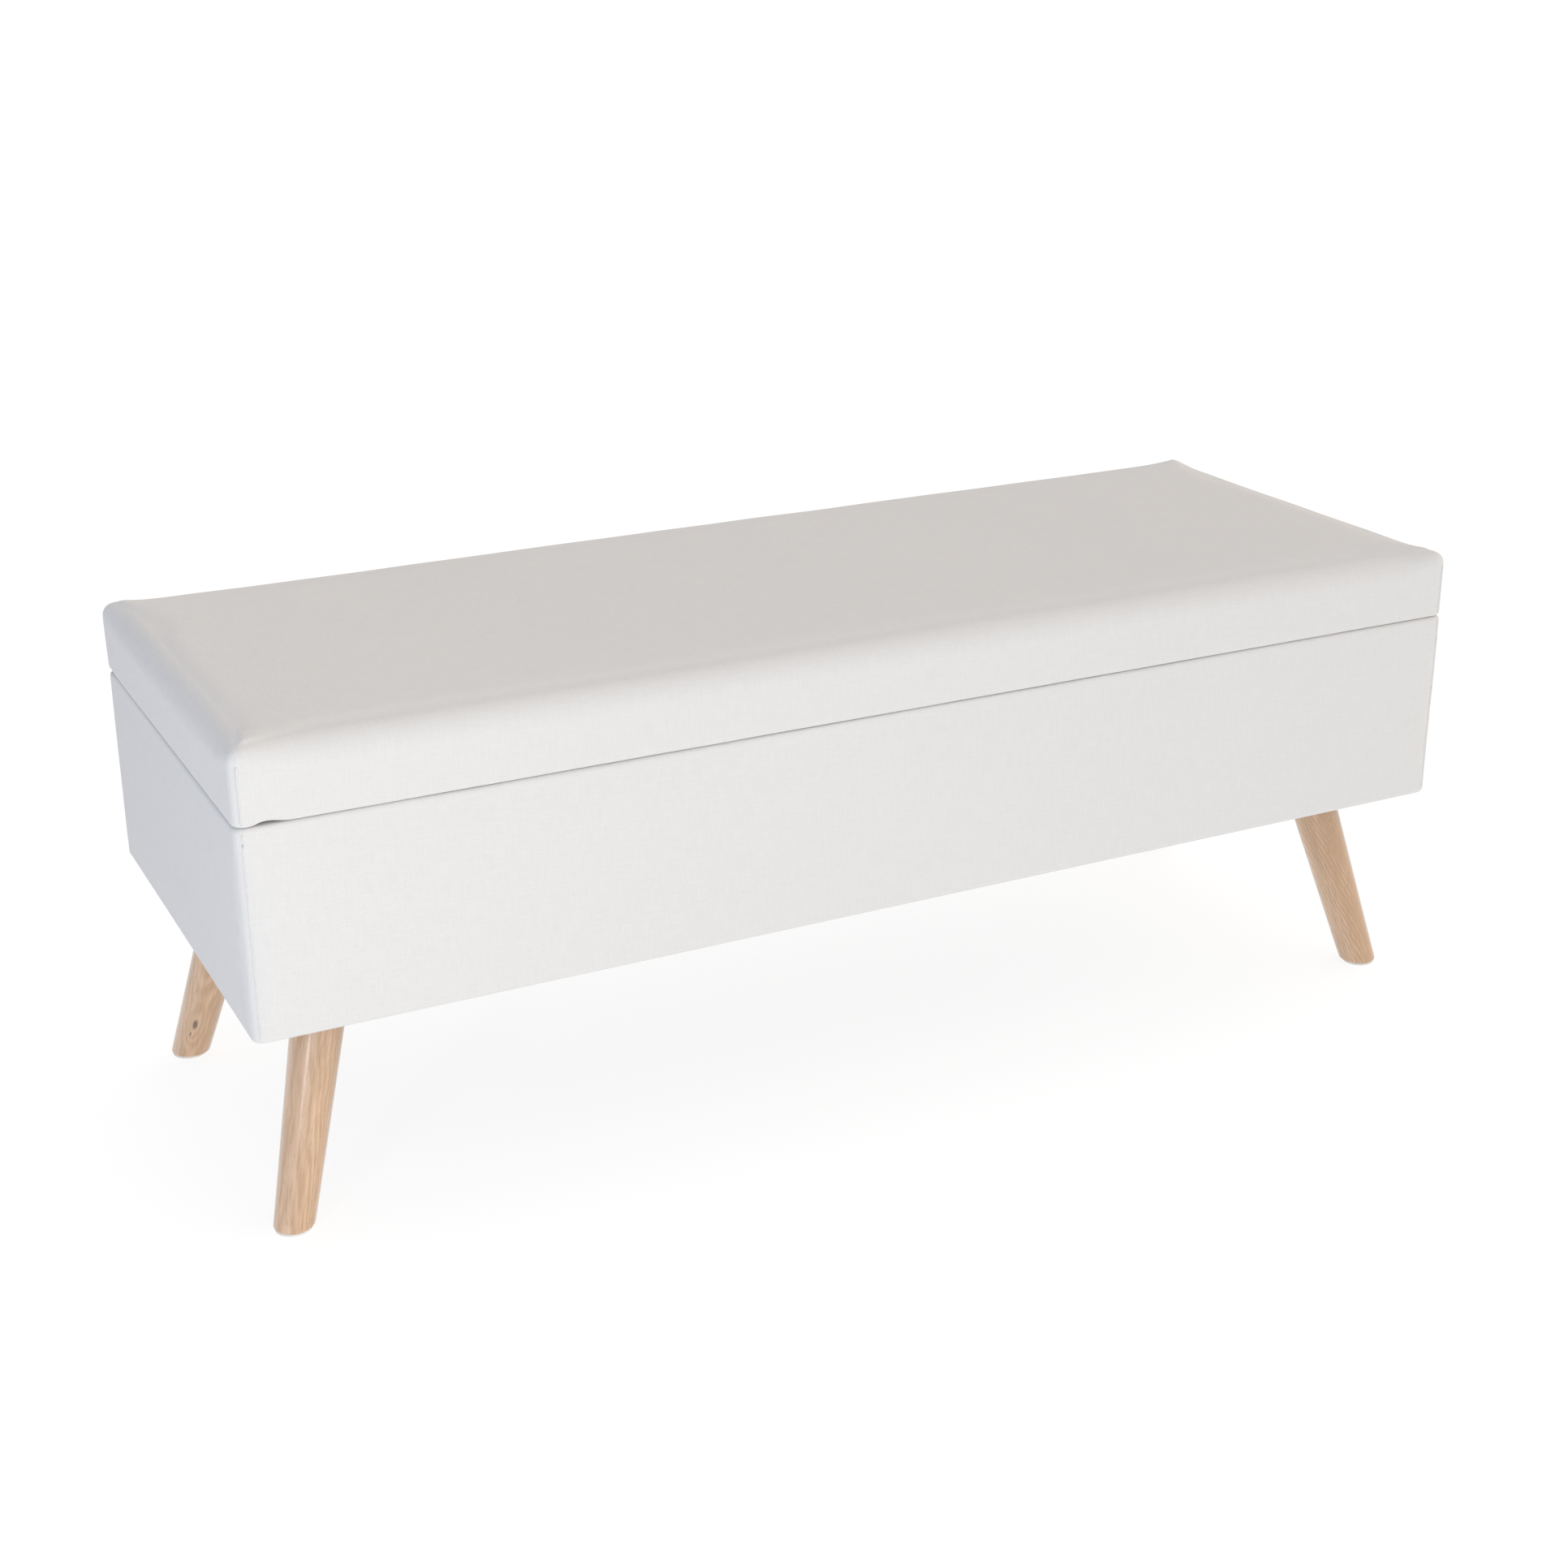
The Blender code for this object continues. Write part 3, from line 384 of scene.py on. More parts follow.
def leg_wood(name, start, turn, pith, slant, painted_shade, seed, knots):
    """Lacquered wood with its grain along the leg; a knot is (x, y, z, radius) on the leg.
    start and turn say where the leg's own frame stands; the number after slant darkens the whole leg as
    painted shade, for a leg that stands in shade."""
    recipe = Recipe(name, 0.38)
    back = turn.inverted()
    frame_of_leg = recipe.tree.nodes.new("ShaderNodeMapping")
    frame_of_leg.inputs["Rotation"].default_value = back.to_euler()
    frame_of_leg.inputs["Location"].default_value = -(back @ start)
    recipe.plug(frame_of_leg.inputs["Vector"], recipe.place.outputs["Object"])
    x, y, z = recipe.split(frame_of_leg.outputs[0])
    bend = recipe.stretched((x, y, z), (14.0, 14.0, 4.0), 3.0, shift=seed)
    from_x = recipe.maths("MULTIPLY_ADD", z, slant, recipe.take(x, pith[0]))
    from_y = recipe.take(y, pith[1])
    ring = recipe.maths("SQRT", recipe.add(recipe.times(from_x, from_x), recipe.times(from_y, from_y)))
    ring = recipe.add(ring, recipe.times(bend, 0.030))
    spots = None
    for knot_x, knot_y, knot_z, radius in knots:
        off_x = recipe.take(x, knot_x)
        off_y = recipe.take(y, knot_y)
        off_z = recipe.times(recipe.take(z, knot_z), 0.42)
        flat = recipe.add(recipe.times(off_x, off_x), recipe.times(off_y, off_y))
        far = recipe.maths("SQRT", recipe.add(flat, recipe.times(off_z, off_z)))
        ring = recipe.add(ring, recipe.span(far, 0.0, 5.0 * radius, 2.0 * radius, 0.0))
        wavy = recipe.add(far, recipe.times(bend, 0.4 * radius))
        spot = recipe.span(wavy, 0.5 * radius, 1.3 * radius, 1.0, 0.0)
        spots = spot if spots is None else recipe.maths("MAXIMUM", spots, spot)
    stripes = recipe.maths("MULTIPLY_ADD", recipe.maths("SINE", recipe.times(ring, 1900.0)), 0.5, 0.5)
    fibres = recipe.stretched((x, y, z), (1100.0, 1100.0, 28.0), 3.0, 0.6)
    pores = recipe.stretched((x, y, z), (1500.0, 1500.0, 90.0), 1.0)
    broad = recipe.stretched((x, y, z), (60.0, 60.0, 7.0), 2.0, shift=seed)
    share = recipe.add(recipe.times(stripes, 0.30), recipe.times(recipe.span(fibres, 0.3, 0.7), 0.40))
    share = recipe.add(share, recipe.times(recipe.span(broad, 0.3, 0.7), 0.38))
    # Painted light and shade: the colour is painted paler towards the leg's lit left side, darker towards
    # its right, and darker over the whole leg by its painted shade.
    share = recipe.take(share, recipe.maths("MULTIPLY_ADD", x, LIT_SIDE_PAINTED_LIGHT, painted_shade))
    colour = recipe.blend(recipe.span(share, 0.15, 0.95), WOOD_MIDDLE, WOOD_LIGHT)
    pits = recipe.times(recipe.span(pores, 0.62, 0.72), 0.45)
    colour = recipe.blend(pits, colour, WOOD_DARK)
    if spots is not None:
        colour = recipe.blend(recipe.times(spots, 0.85), colour, KNOT_BROWN)
    recipe.feed("Base Color", colour)
    recipe.feed("Roughness", recipe.span(fibres, 0.3, 0.7, 0.46, 0.32))
    recipe.set("Coat Weight", 1.0)
    recipe.set("Coat Roughness", 0.20)
    recipe.relief(recipe.take(recipe.times(fibres, 0.5), pits), 0.12 * MM, 0.5)
    return recipe.material


PLY_PAIR = 3.0 * MM          # one pale and one dark ply together


def plywood(name):
    """Pale birch veneer on the faces, and the stripes of its layers on the edges."""
    recipe = Recipe(name, 0.65)
    place = recipe.place.outputs["Object"]
    x, y, z = recipe.split(place)
    grain = recipe.stretched((x, y, z), (9.0, 160.0, 160.0), 4.0, 0.6)
    into = recipe.add(recipe.add(y, z), recipe.times(grain, MM))
    layers = recipe.maths("SINE", recipe.times(into, 2.0 * math.pi / PLY_PAIR))
    share = recipe.add(recipe.times(recipe.span(grain, 0.3, 0.7), 0.75), recipe.times(layers, 0.12))
    recipe.feed("Base Color", recipe.blend(share, (0.46, 0.31, 0.18), (0.66, 0.50, 0.33)))
    recipe.feed("Roughness", recipe.span(grain, 0.3, 0.7, 0.72, 0.58))
    recipe.relief(grain, 0.15 * MM, 0.5)
    return recipe.material


PLYWOOD = plywood("birch_plywood")
print("woods:", PLYWOOD.name, "and one finish per leg, made with the legs")

# %% [markdown]
# ## Zinc-plated steel and pale plastic
#
# Cheap furniture fittings are stamped from zinc-plated sheet.  They're not mirrors: the plating is
# cloudy, with faint rolling marks.  The feet's glides and the lid's bumpers are milky plastic with a
# slightly mottled surface.

# %% Steel and plastic
def plated_steel(name):
    """Bright zinc plating with clouds and faint rolling marks."""
    recipe = Recipe(name, 0.35, 1.0)
    place = recipe.place.outputs["Object"]
    x, y, z = recipe.split(place)
    marks = recipe.stretched((x, y, z), (900.0, 60.0, 900.0), 3.0)
    clouds = recipe.noise(place, 160.0, 3.0)
    recipe.feed("Base Color", recipe.blend(clouds, (0.48, 0.49, 0.50), (0.66, 0.66, 0.67)))
    recipe.feed("Roughness", recipe.span(recipe.times(recipe.add(marks, clouds), 0.5), 0.3, 0.7, 0.26, 0.46))
    recipe.relief(marks, 0.03 * MM, 0.4)
    return recipe.material


def milky_plastic(name, light, dark):
    """Pale moulded plastic, faintly mottled and worn matt."""
    recipe = Recipe(name, 0.55)
    place = recipe.place.outputs["Object"]
    mottle = recipe.noise(place, 220.0, 3.0)
    scuffs = recipe.noise(place, 1400.0, 2.0)
    recipe.feed("Base Color", recipe.blend(mottle, dark, light))
    recipe.feed("Roughness", recipe.span(scuffs, 0.3, 0.7, 0.42, 0.68))
    recipe.set("Subsurface Weight", 0.08)
    recipe.relief(scuffs, 0.05 * MM, 0.5)
    return recipe.material


STEEL = plated_steel("zinc_plating")
GLIDE_PLASTIC = milky_plastic("glide_plastic", (0.80, 0.78, 0.73), (0.70, 0.68, 0.63))
print("fittings:", STEEL.name, GLIDE_PLASTIC.name)

# %% [markdown]
# ## From points to pieces
#
# Every new piece ends the same way: points and faces become a mesh, the mesh gets its finish, the
# piece is attached to the moving body that carries it, and the parts of the solid design that it
# stands for are hidden.  One helper does all of that, so no piece can forget a step.

# %% Piece helper
def add_piece(name, mesh, finish, body, stands_for=()):
    """Puts a mesh in the scene as a piece that rides on a body."""
    piece = bpy.data.objects.new(name, mesh)
    bpy.context.scene.collection.objects.link(piece)
    mesh.materials.clear()
    mesh.materials.append(finish)
    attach(piece, body)
    if stands_for:
        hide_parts(*stands_for)
    return piece


def skin_mesh(name, points, faces, smooth=True):
    """A mesh from points and faces, shaded smooth."""
    mesh = bpy.data.meshes.new(name)
    mesh.from_pydata([tuple(point) for point in points], [], faces)
    if smooth:
        mesh.shade_smooth()
    return mesh


def points_of(mesh):
    """The places of a mesh's points, one row each."""
    flat = np.zeros(len(mesh.vertices) * 3)
    mesh.vertices.foreach_get("co", flat)
    return flat.reshape(-1, 3)


def normals_of(mesh):
    """The directions in which a mesh's points face, one row each."""
    flat = np.zeros(len(mesh.vertices) * 3, np.float32)
    mesh.vertex_normals.foreach_get("vector", flat)
    return flat.reshape(-1, 3)


def move_points(mesh, points):
    """Puts a mesh's points at new places."""
    mesh.vertices.foreach_set("co", points.ravel())
    mesh.update()


def settle(piece):
    """Makes what the modifiers show into the piece's own mesh."""
    seen = piece.evaluated_get(bpy.context.evaluated_depsgraph_get())
    mesh = bpy.data.meshes.new_from_object(seen)
    piece.modifiers.clear()
    old = piece.data
    piece.data = mesh
    bpy.data.meshes.remove(old)


def thicken(piece, thickness, inward=True):
    """Gives a cloth skin its thickness, on the side away from view."""
    solid = piece.modifiers.new("thickness", "SOLIDIFY")
    solid.thickness = thickness
    solid.offset = -1.0 if inward else 1.0


def refine(piece):
    """Rounds a piece's faces off with one subdivision."""
    fine = piece.modifiers.new("fine", "SUBSURF")
    fine.levels = 1
    fine.render_levels = 1


print("helpers ready")

# %% [markdown]
# ## Boxes with soft corners
#
# An upholstered box isn't a box: its corners are round in plan, its upper edge is a big soft roll and
# its lower edge a tight one.  A grid on a plain box is easy to make and its squares line up with the
# threads, so the shapes start there.  Each grid point then slides to the rounded outline: first in
# plan, then in the upright section.  The grid is fine along the edges and coarse where it's flat.

# %% Soft boxes
def grid_lines(low, high, edge, fine, coarse):
    """Grid positions, close together within edge of either end."""
    near = low + np.arange(0.0, edge + fine / 2, fine)
    far = (low + high) - near[::-1]
    count = max(2, round((far[0] - near[-1]) / coarse))
    middle = np.linspace(near[-1], far[0], count + 1)[1:-1]
    return np.concatenate([near, middle, far])


def plan_arms(plan, low, high, reach, corner):
    """For plan points: the inner rectangle's nearest point, the arm from there to the rounded
    outline, and how far along that arm the point lies."""
    low = np.array(low[:2])
    high = np.array(high[:2])
    inner = np.clip(plan, low + reach, high - reach)
    offset = plan - inner
    longer = np.abs(offset).max(axis=1)
    shorter = np.abs(offset).min(axis=1)
    flat = reach - corner
    total = longer + shorter
    square = longer ** 2 + shorter ** 2
    root = np.sqrt(np.maximum((flat * total) ** 2 - square * (2 * flat ** 2 - corner ** 2), 0.0))
    on_arc = shorter * reach > flat * longer
    outline = np.where(on_arc, square / np.maximum(flat * total + root, 1e-12), longer / reach)
    arm = offset / np.maximum(outline, 1e-9)[:, None]
    return inner, arm, longer / reach


def round_off(inset, height, radius):
    """Bends the corner between a flat and an upright side into a quarter circle."""
    near = (inset < radius) & (height < radius)
    away = np.stack([inset - radius, height - radius])
    scale = radius / np.maximum(np.hypot(*away), 1e-9)
    bent = radius + away * scale
    return np.where(near, bent[0], inset), np.where(near, bent[1], height)


def soft_box(points, low, high, reach, corner, top, rim):
    """Slides the points of a box grid to the outline of a box with soft corners and edges."""
    inner, arm, share = plan_arms(points[:, :2], low, high, reach, corner)
    inset, rise = round_off((1 - share) * reach, points[:, 2] - low[2], rim)
    inset, drop = round_off(inset, high[2] - low[2] - rise, top)
    plan = inner + arm * (1 - inset / reach)[:, None]
    return np.column_stack([plan, high[2] - drop])


def box_skin(xs, ys, zs, hem):
    """Quads on a box grid's four sides and its far cap, and hem rows round its near cap."""
    found = {}
    faces = []

    def at(i, j, k):
        return found.setdefault((i, j, k), len(found))

    end_x = len(xs) - 1
    end_y = len(ys) - 1
    end_z = len(zs) - 1
    for k in range(end_z):
        for i in range(end_x):
            faces.append([at(i, 0, k), at(i + 1, 0, k), at(i + 1, 0, k + 1), at(i, 0, k + 1)])
            rear = [at(i + 1, end_y, k), at(i, end_y, k), at(i, end_y, k + 1), at(i + 1, end_y, k + 1)]
            faces.append(rear)
        for j in range(end_y):
            faces.append([at(0, j + 1, k), at(0, j, k), at(0, j, k + 1), at(0, j + 1, k + 1)])
            right = [at(end_x, j, k), at(end_x, j + 1, k), at(end_x, j + 1, k + 1), at(end_x, j, k + 1)]
            faces.append(right)
    for i in range(end_x):
        for j in range(end_y):
            cap = [at(i, j, end_z), at(i + 1, j, end_z), at(i + 1, j + 1, end_z), at(i, j + 1, end_z)]
            faces.append(cap)
            if min(i, j, end_x - 1 - i, end_y - 1 - j) < hem:
                faces.append([at(i, j + 1, 0), at(i + 1, j + 1, 0), at(i + 1, j, 0), at(i, j, 0)])
    points = np.array([(xs[i], ys[j], zs[k]) for i, j, k in found])
    return points, faces


def band(profile, xs, ys, low, high, reach, corner):
    """A band round the bench; its profile is rows of (inset, height)."""
    front = [(x, ys[0]) for x in xs[:-1]]
    right = [(xs[-1], y) for y in ys[:-1]]
    rear = [(x, ys[-1]) for x in xs[:0:-1]]
    left = [(xs[0], y) for y in ys[:0:-1]]
    around = np.array(front + right + rear + left)
    inner, arm, _ = plan_arms(around, low, high, reach, corner)
    rows = [np.column_stack([inner + arm * (1 - d / reach), np.full(len(around), z)]) for d, z in profile]
    count = len(around)
    faces = []
    for row in range(len(profile) - 1):
        for i in range(count):
            j = (i + 1) % count
            faces.append([row * count + i, row * count + j, (row + 1) * count + j, (row + 1) * count + i])
    return np.concatenate(rows), faces


def arc(middle, radius, start, end, steps):
    """Profile points on an arc, with angles in degrees from straight in."""
    angles = np.radians(np.linspace(start, end, steps + 1))
    return [(middle[0] + radius * math.cos(a), middle[1] + radius * math.sin(a)) for a in angles]


print("soft boxes ready")

# %% [markdown]
# ## Stuffing by simulation
#
# Fabric over foam takes its shape from pressure: the foam pushes out, the sewn edges hold, and the
# cloth settles between them.  A cloth simulation does exactly that.  The hem and the sewn edges are
# pinned, gravity is off, air pressure stands in for the foam, and twenty steps are enough.  Foam
# doesn't blow up like a balloon, and it doesn't give way either: each point only moves outward from
# the cut foam, and its move is softly capped.

# %% Cloth simulation
STUFFING_PRESSURE = 4.0
STUFFING_STEPS = 20


def stuff(piece, pinned, cap):
    """Lets pressure push the skin out from its foam, and keeps each point's move under the cap."""
    before = points_of(piece.data)
    facing = normals_of(piece.data)
    held = piece.vertex_groups.new(name="sewn")
    held.add([int(i) for i in np.flatnonzero(pinned)], 1.0, "REPLACE")
    cloth = piece.modifiers.new("stuffing", "CLOTH")
    cloth.settings.quality = 4
    cloth.settings.mass = 0.3
    cloth.settings.tension_stiffness = 60.0
    cloth.settings.compression_stiffness = 60.0
    cloth.settings.shear_stiffness = 20.0
    cloth.settings.bending_stiffness = 2.0
    cloth.settings.vertex_group_mass = "sewn"
    cloth.settings.use_pressure = True
    cloth.settings.uniform_pressure_force = STUFFING_PRESSURE
    cloth.settings.effector_weights.gravity = 0.0
    cloth.collision_settings.use_collision = False
    scene = bpy.context.scene
    for step in range(1, STUFFING_STEPS + 1):
        scene.frame_set(step)
    seen = piece.evaluated_get(bpy.context.evaluated_depsgraph_get())
    moved = points_of(seen.to_mesh())
    seen.to_mesh_clear()
    piece.modifiers.remove(cloth)
    piece.vertex_groups.remove(held)
    scene.frame_set(1)
    push = np.maximum(((moved - before) * facing).sum(axis=1), 0.0)
    move_points(piece.data, before + facing * (np.tanh(push / cap) * cap)[:, None])
    return float(push.mean())


def ripple(points, size, seed):
    """Smooth uneven numbers between about -1 and 1, one for each point."""
    place = Vector((seed * 7.31, seed * 3.17, seed * 5.71))
    return np.array([noise.noise(Vector(point) / size + place) for point in points])


def bump_at(distance, width):
    """A smooth hump that is 1 at no distance and fades over the width."""
    return np.exp(-((distance / width) ** 2))


print("stuffing ready; skipped now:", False)

# %% [markdown]
# ## The padded lid
#
# On the real bench the lid is a thin board with a slab of foam, wrapped in one cover that is sewn up
# at its four corners and stapled under the board.  So the piece is one skin: a flat top, a soft roll,
# short sides and a hem underneath.  Pressure crowns it slightly.  Then come the things hands do to
# it: slow waves in the top, a little gathering beside each corner seam, and one pucker in the lower
# edge where the cover was pulled tight.

# %% Lid cushion
LID_CORNER = 10.0 * MM
LID_ROLL = 22.0 * MM         # radius of the upper edges
LID_TIGHT = 12.0 * MM         # the same at the corners, where the seams pull the cover in
LID_TIGHT_REACH = 60.0 * MM
LID_RIM = 3.0 * MM
LID_HEM = 24.0 * MM
LID_FINE = 2.0 * MM
SEAM_ANGLE = math.radians(72)    # where a corner's seam lies on its curve, from the end to the front
LID_CROWN = 2.5 * MM
CLOTH_THICK = 1.2 * MM
HEM_RISE = 1.0 * MM
EDGE_DROP = 1.4 * MM         # the padding's lower edge hangs a little below the board's hem
BOARD_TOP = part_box("lid_board")[1].z
lid_low, lid_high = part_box("lid_cover")


def corner_distance(points, low, high):
    """How far each point lies from the nearest upright corner, in plan."""
    along_x = np.minimum(points[:, 0] - low[0], high[0] - points[:, 0])
    along_y = np.minimum(points[:, 1] - low[1], high[1] - points[:, 1])
    return np.hypot(along_x, along_y), along_x, along_y


def seam_distance(points, low, high, radius):
    """How far each point lies, in plan, from the seam of its nearest corner."""
    _, along_x, along_y = corner_distance(points, low, high)
    seam_x = radius * (1 - math.cos(SEAM_ANGLE))
    seam_y = radius * (1 - math.sin(SEAM_ANGLE))
    return np.hypot(along_x - seam_x, along_y - seam_y)


def lid_cushion():
    """The cover and the foam of the lid as one stuffed skin."""
    xs = grid_lines(lid_low[0], lid_high[0], LID_ROLL, LID_FINE, 9 * MM)
    ys = grid_lines(lid_low[1], lid_high[1], LID_ROLL, LID_FINE, 9 * MM)
    zs = np.linspace(lid_low[2], lid_high[2], 26)
    hem_rows = round(LID_HEM / LID_FINE)
    points, faces = box_skin(xs, ys, zs, hem_rows)
    under = np.isclose(points[:, 2], lid_low[2])
    away, along_x, along_y = corner_distance(points, lid_low, lid_high)
    inset = np.minimum(along_x, along_y)
    loosened = np.clip(away / LID_TIGHT_REACH, 0.0, 1.0)
    roll = LID_TIGHT + (LID_ROLL - LID_TIGHT) * loosened * loosened * (3 - 2 * loosened)
    points = soft_box(points, lid_low, lid_high, LID_ROLL, LID_CORNER, roll, LID_RIM)
    mesh = skin_mesh("lid_cushion", points, faces)
    piece = add_piece("lid_cushion", mesh, UPHOLSTERY, "lid", ("lid_cover", "lid_foam"))
    pinned = points[:, 2] < BOARD_TOP + 2 * MM
    pushed = stuff(piece, pinned, LID_CROWN)
    points = points_of(mesh)
    facing = normals_of(mesh)
    away, _, _ = corner_distance(points, lid_low, lid_high)
    upright = np.clip(1.0 - np.abs(facing[:, 2]), 0.0, 1.0)
    move = 0.9 * MM * ripple(points, 0.26, 1) + 0.35 * MM * ripple(points, 0.07, 2)
    gathers = 0.5 * MM * ripple(points * np.array([1.0, 1.0, 0.25]), 0.011, 3)
    gathers = gathers * bump_at(away, 0.05) * upright
    from_seam = seam_distance(points, lid_low, lid_high, LID_CORNER)
    grooves = 0.8 * MM * bump_at(from_seam - 2.6 * MM, 1.3 * MM) * upright
    points = points + facing * (np.where(under, 0.0, move + gathers - grooves))[:, None]
    edge = bump_at(points[:, 2] - lid_low[2], 6 * MM) * np.clip((10 * MM - inset) / (4 * MM), 0.0, 1.0)
    at_front = points[:, 1] < lid_low[1] + 12 * MM
    pucker = bump_at(points[:, 0] - lid_low[0] - 27 * MM, 8 * MM) * at_front
    not_rear = np.clip((lid_high[1] - 20 * MM - points[:, 1]) / (20 * MM), 0.0, 1.0)
    wave = 0.2 * MM * ripple(points, 0.05, 4)
    points[:, 2] += edge * (2.4 * MM * pucker - (EDGE_DROP + wave) * not_rear * (1 - pucker))
    points[:, 2] += np.where(under, HEM_RISE * np.clip((inset - 6 * MM) / (8 * MM), 0.0, 1.0), 0.0)
    move_points(mesh, points)
    thicken(piece, CLOTH_THICK)
    refine(piece)
    print(f"lid cushion: {len(points)} points, pressure moved them out {pushed / MM:.1f} mm on average")
    return piece


CUSHION = lid_cushion()

# %% [markdown]
# ## The cover round the box
#
# The box's cover is a sleeve of four sewn panels over thin wadding.  It's stapled under the boards,
# runs up the outside, rolls over the top edge and ends a few fingers' width down the inside.
# A profile carried round the plan makes all of that in one band, and the same pressure as before
# gives the panels their slight fullness between the hard edges.

# %% Body sleeve
BODY_CORNER = 9.0 * MM
BODY_REACH = 24.0 * MM
BODY_RIM = 4.0 * MM
BODY_FOOT = 5.0 * MM         # the roll along the lower edge
BODY_HANG = 1.3 * MM         # how far the padding hangs below the boards' hem
BODY_FULL = 2.4 * MM
ROW = 7.0 * MM
RIM_SWELL = 1.2 * MM
body_low, body_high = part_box("body_cover")
turned_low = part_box("storage_lining")[1].z + 0.3 * MM
turned_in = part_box("lid_cover")[1].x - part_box("storage_lining")[1].x + CLOTH_THICK


def sleeve_profile():
    """The sleeve's section, from the hem under the boards to the edge that is turned in."""
    foot = body_low[2]
    top = body_high[2]
    hem = [(d * MM, foot + 0.9 * MM) for d in (19.0, 16.0, 13.0)]
    roll = [(BODY_FOOT + 1.5 * MM, foot + 0.3 * MM)]
    roll += arc((BODY_FOOT, foot + BODY_FOOT), BODY_FOOT, -90, -180, 6)
    rows = [(0.0, z) for z in np.arange(foot + BODY_FOOT + ROW, top - BODY_RIM - ROW / 2, ROW)]
    rim = arc((BODY_RIM, top - BODY_RIM), BODY_RIM, 180, 90, 4)
    across = [(d * MM, top) for d in (8.0, 12.0)]
    inside = arc((turned_in - BODY_RIM, top - BODY_RIM), BODY_RIM, 90, 0, 4)
    down = [(turned_in, z) for z in np.arange(top - BODY_RIM - 3 * MM, turned_low, -3 * MM)]
    return hem + roll + rows + rim + across + inside + down + [(turned_in, turned_low)]


def body_sleeve():
    """The sewn cover of the box, outside, rim and turned-in edge."""
    xs = grid_lines(body_low[0], body_high[0], BODY_REACH, 1.5 * MM, 9 * MM)
    ys = grid_lines(body_low[1], body_high[1], BODY_REACH, 1.5 * MM, 9 * MM)
    profile = sleeve_profile()
    points, faces = band(profile, xs, ys, body_low, body_high, BODY_REACH, BODY_CORNER)
    mesh = skin_mesh("body_sleeve", points, faces)
    piece = add_piece("body_sleeve", mesh, UPHOLSTERY, "box", ("body_cover",))
    inset = np.repeat([d for d, _ in profile], len(points) // len(profile))
    pinned = (inset > 0.5 * MM) | (points[:, 2] > body_high[2] - 3 * BODY_RIM)
    pushed = stuff(piece, pinned, BODY_FULL)
    points = points_of(mesh)
    facing = normals_of(mesh)
    away, _, _ = corner_distance(points, body_low, body_high)
    outside = np.where(inset < 0.5 * MM, 1.0, 0.0)
    move = 0.6 * MM * ripple(points, 0.22, 11) + 0.22 * MM * ripple(points, 0.05, 12)
    gathers = 0.2 * MM * ripple(points * np.array([0.6, 0.6, 1.6]), 0.022, 13) * bump_at(away, 0.05)
    from_seam = seam_distance(points, body_low, body_high, BODY_CORNER)
    grooves = 0.15 * MM * bump_at(from_seam - 2.4 * MM, 1.2 * MM)
    points = points + facing * (outside * (move + gathers - grooves))[:, None]
    rim = bump_at(points[:, 2] - body_high[2], 5 * MM) * (inset < turned_in - BODY_RIM)
    not_rear = np.clip((body_high[1] - 20 * MM - points[:, 1]) / (20 * MM), 0.0, 1.0)
    points[:, 2] += rim * not_rear * (RIM_SWELL + 0.2 * MM * ripple(points, 0.06, 14))
    points[:, 2] -= BODY_HANG * bump_at(points[:, 2] - body_low[2], 7 * MM) * (inset < 11 * MM)
    move_points(mesh, points)
    thicken(piece, CLOTH_THICK)
    refine(piece)
    print(f"body sleeve: {len(points)} points, pressure moved them out {pushed / MM:.1f} mm on average")
    return piece


SLEEVE = body_sleeve()

# %% [markdown]
# ## Corner seams
#
# Where two panels meet, the sewn edge stands up as a thin ridge with a valley on each side.  The
# valleys are already in the skins; the ridge is its own fine roll of cloth.  It follows the skin's
# real corner line, found on the finished mesh, and at the top of the lid it ends in a small tuck.

# %% Corner ridges
RIDGE_RADIUS = 0.75 * MM
TUCK_RADIUS = 1.5 * MM
RIDGE_SIDES = 10


def corner_line(mesh, side_x, side_y, heights):
    """The skin's own seam line: at each height, the point that stands out furthest that way."""
    points = points_of(mesh)
    out = points[:, 0] * side_x * math.cos(SEAM_ANGLE) + points[:, 1] * side_y * math.sin(SEAM_ANGLE)
    line = []
    for height in heights:
        level = np.abs(points[:, 2] - height)
        score = out - 0.4 * level
        score[level > 5 * MM] = -9.0
        line.append(points[int(score.argmax())])
    line = np.array(line)
    line[:, 2] = heights
    for _ in range(12):
        line[1:-1, :2] = (line[:-2, :2] + 2 * line[1:-1, :2] + line[2:, :2]) / 4
    return line


def roll_along(name, line, radii, finish, body):
    """A round roll of cloth along a line, closed at both ends."""
    points = []
    faces = []
    count = len(line)
    for row, (place, radius) in enumerate(zip(line, radii)):
        ahead = Vector(line[min(row + 1, count - 1)]) - Vector(line[max(row - 1, 0)])
        turn = ahead.to_track_quat("Z", "X")
        for side in range(RIDGE_SIDES):
            angle = 2 * math.pi * side / RIDGE_SIDES
            spoke = turn @ Vector((math.cos(angle) * radius, math.sin(angle) * radius, 0.0))
            points.append(Vector(place) + spoke)
    for row in range(count - 1):
        for side in range(RIDGE_SIDES):
            after = (side + 1) % RIDGE_SIDES
            here = row * RIDGE_SIDES
            there = here + RIDGE_SIDES
            faces.append([here + side, here + after, there + after, there + side])
    faces.append(list(range(RIDGE_SIDES))[::-1])
    faces.append([(count - 1) * RIDGE_SIDES + side for side in range(RIDGE_SIDES)])
    piece = add_piece(name, skin_mesh(name, points, faces), finish, body)
    return piece


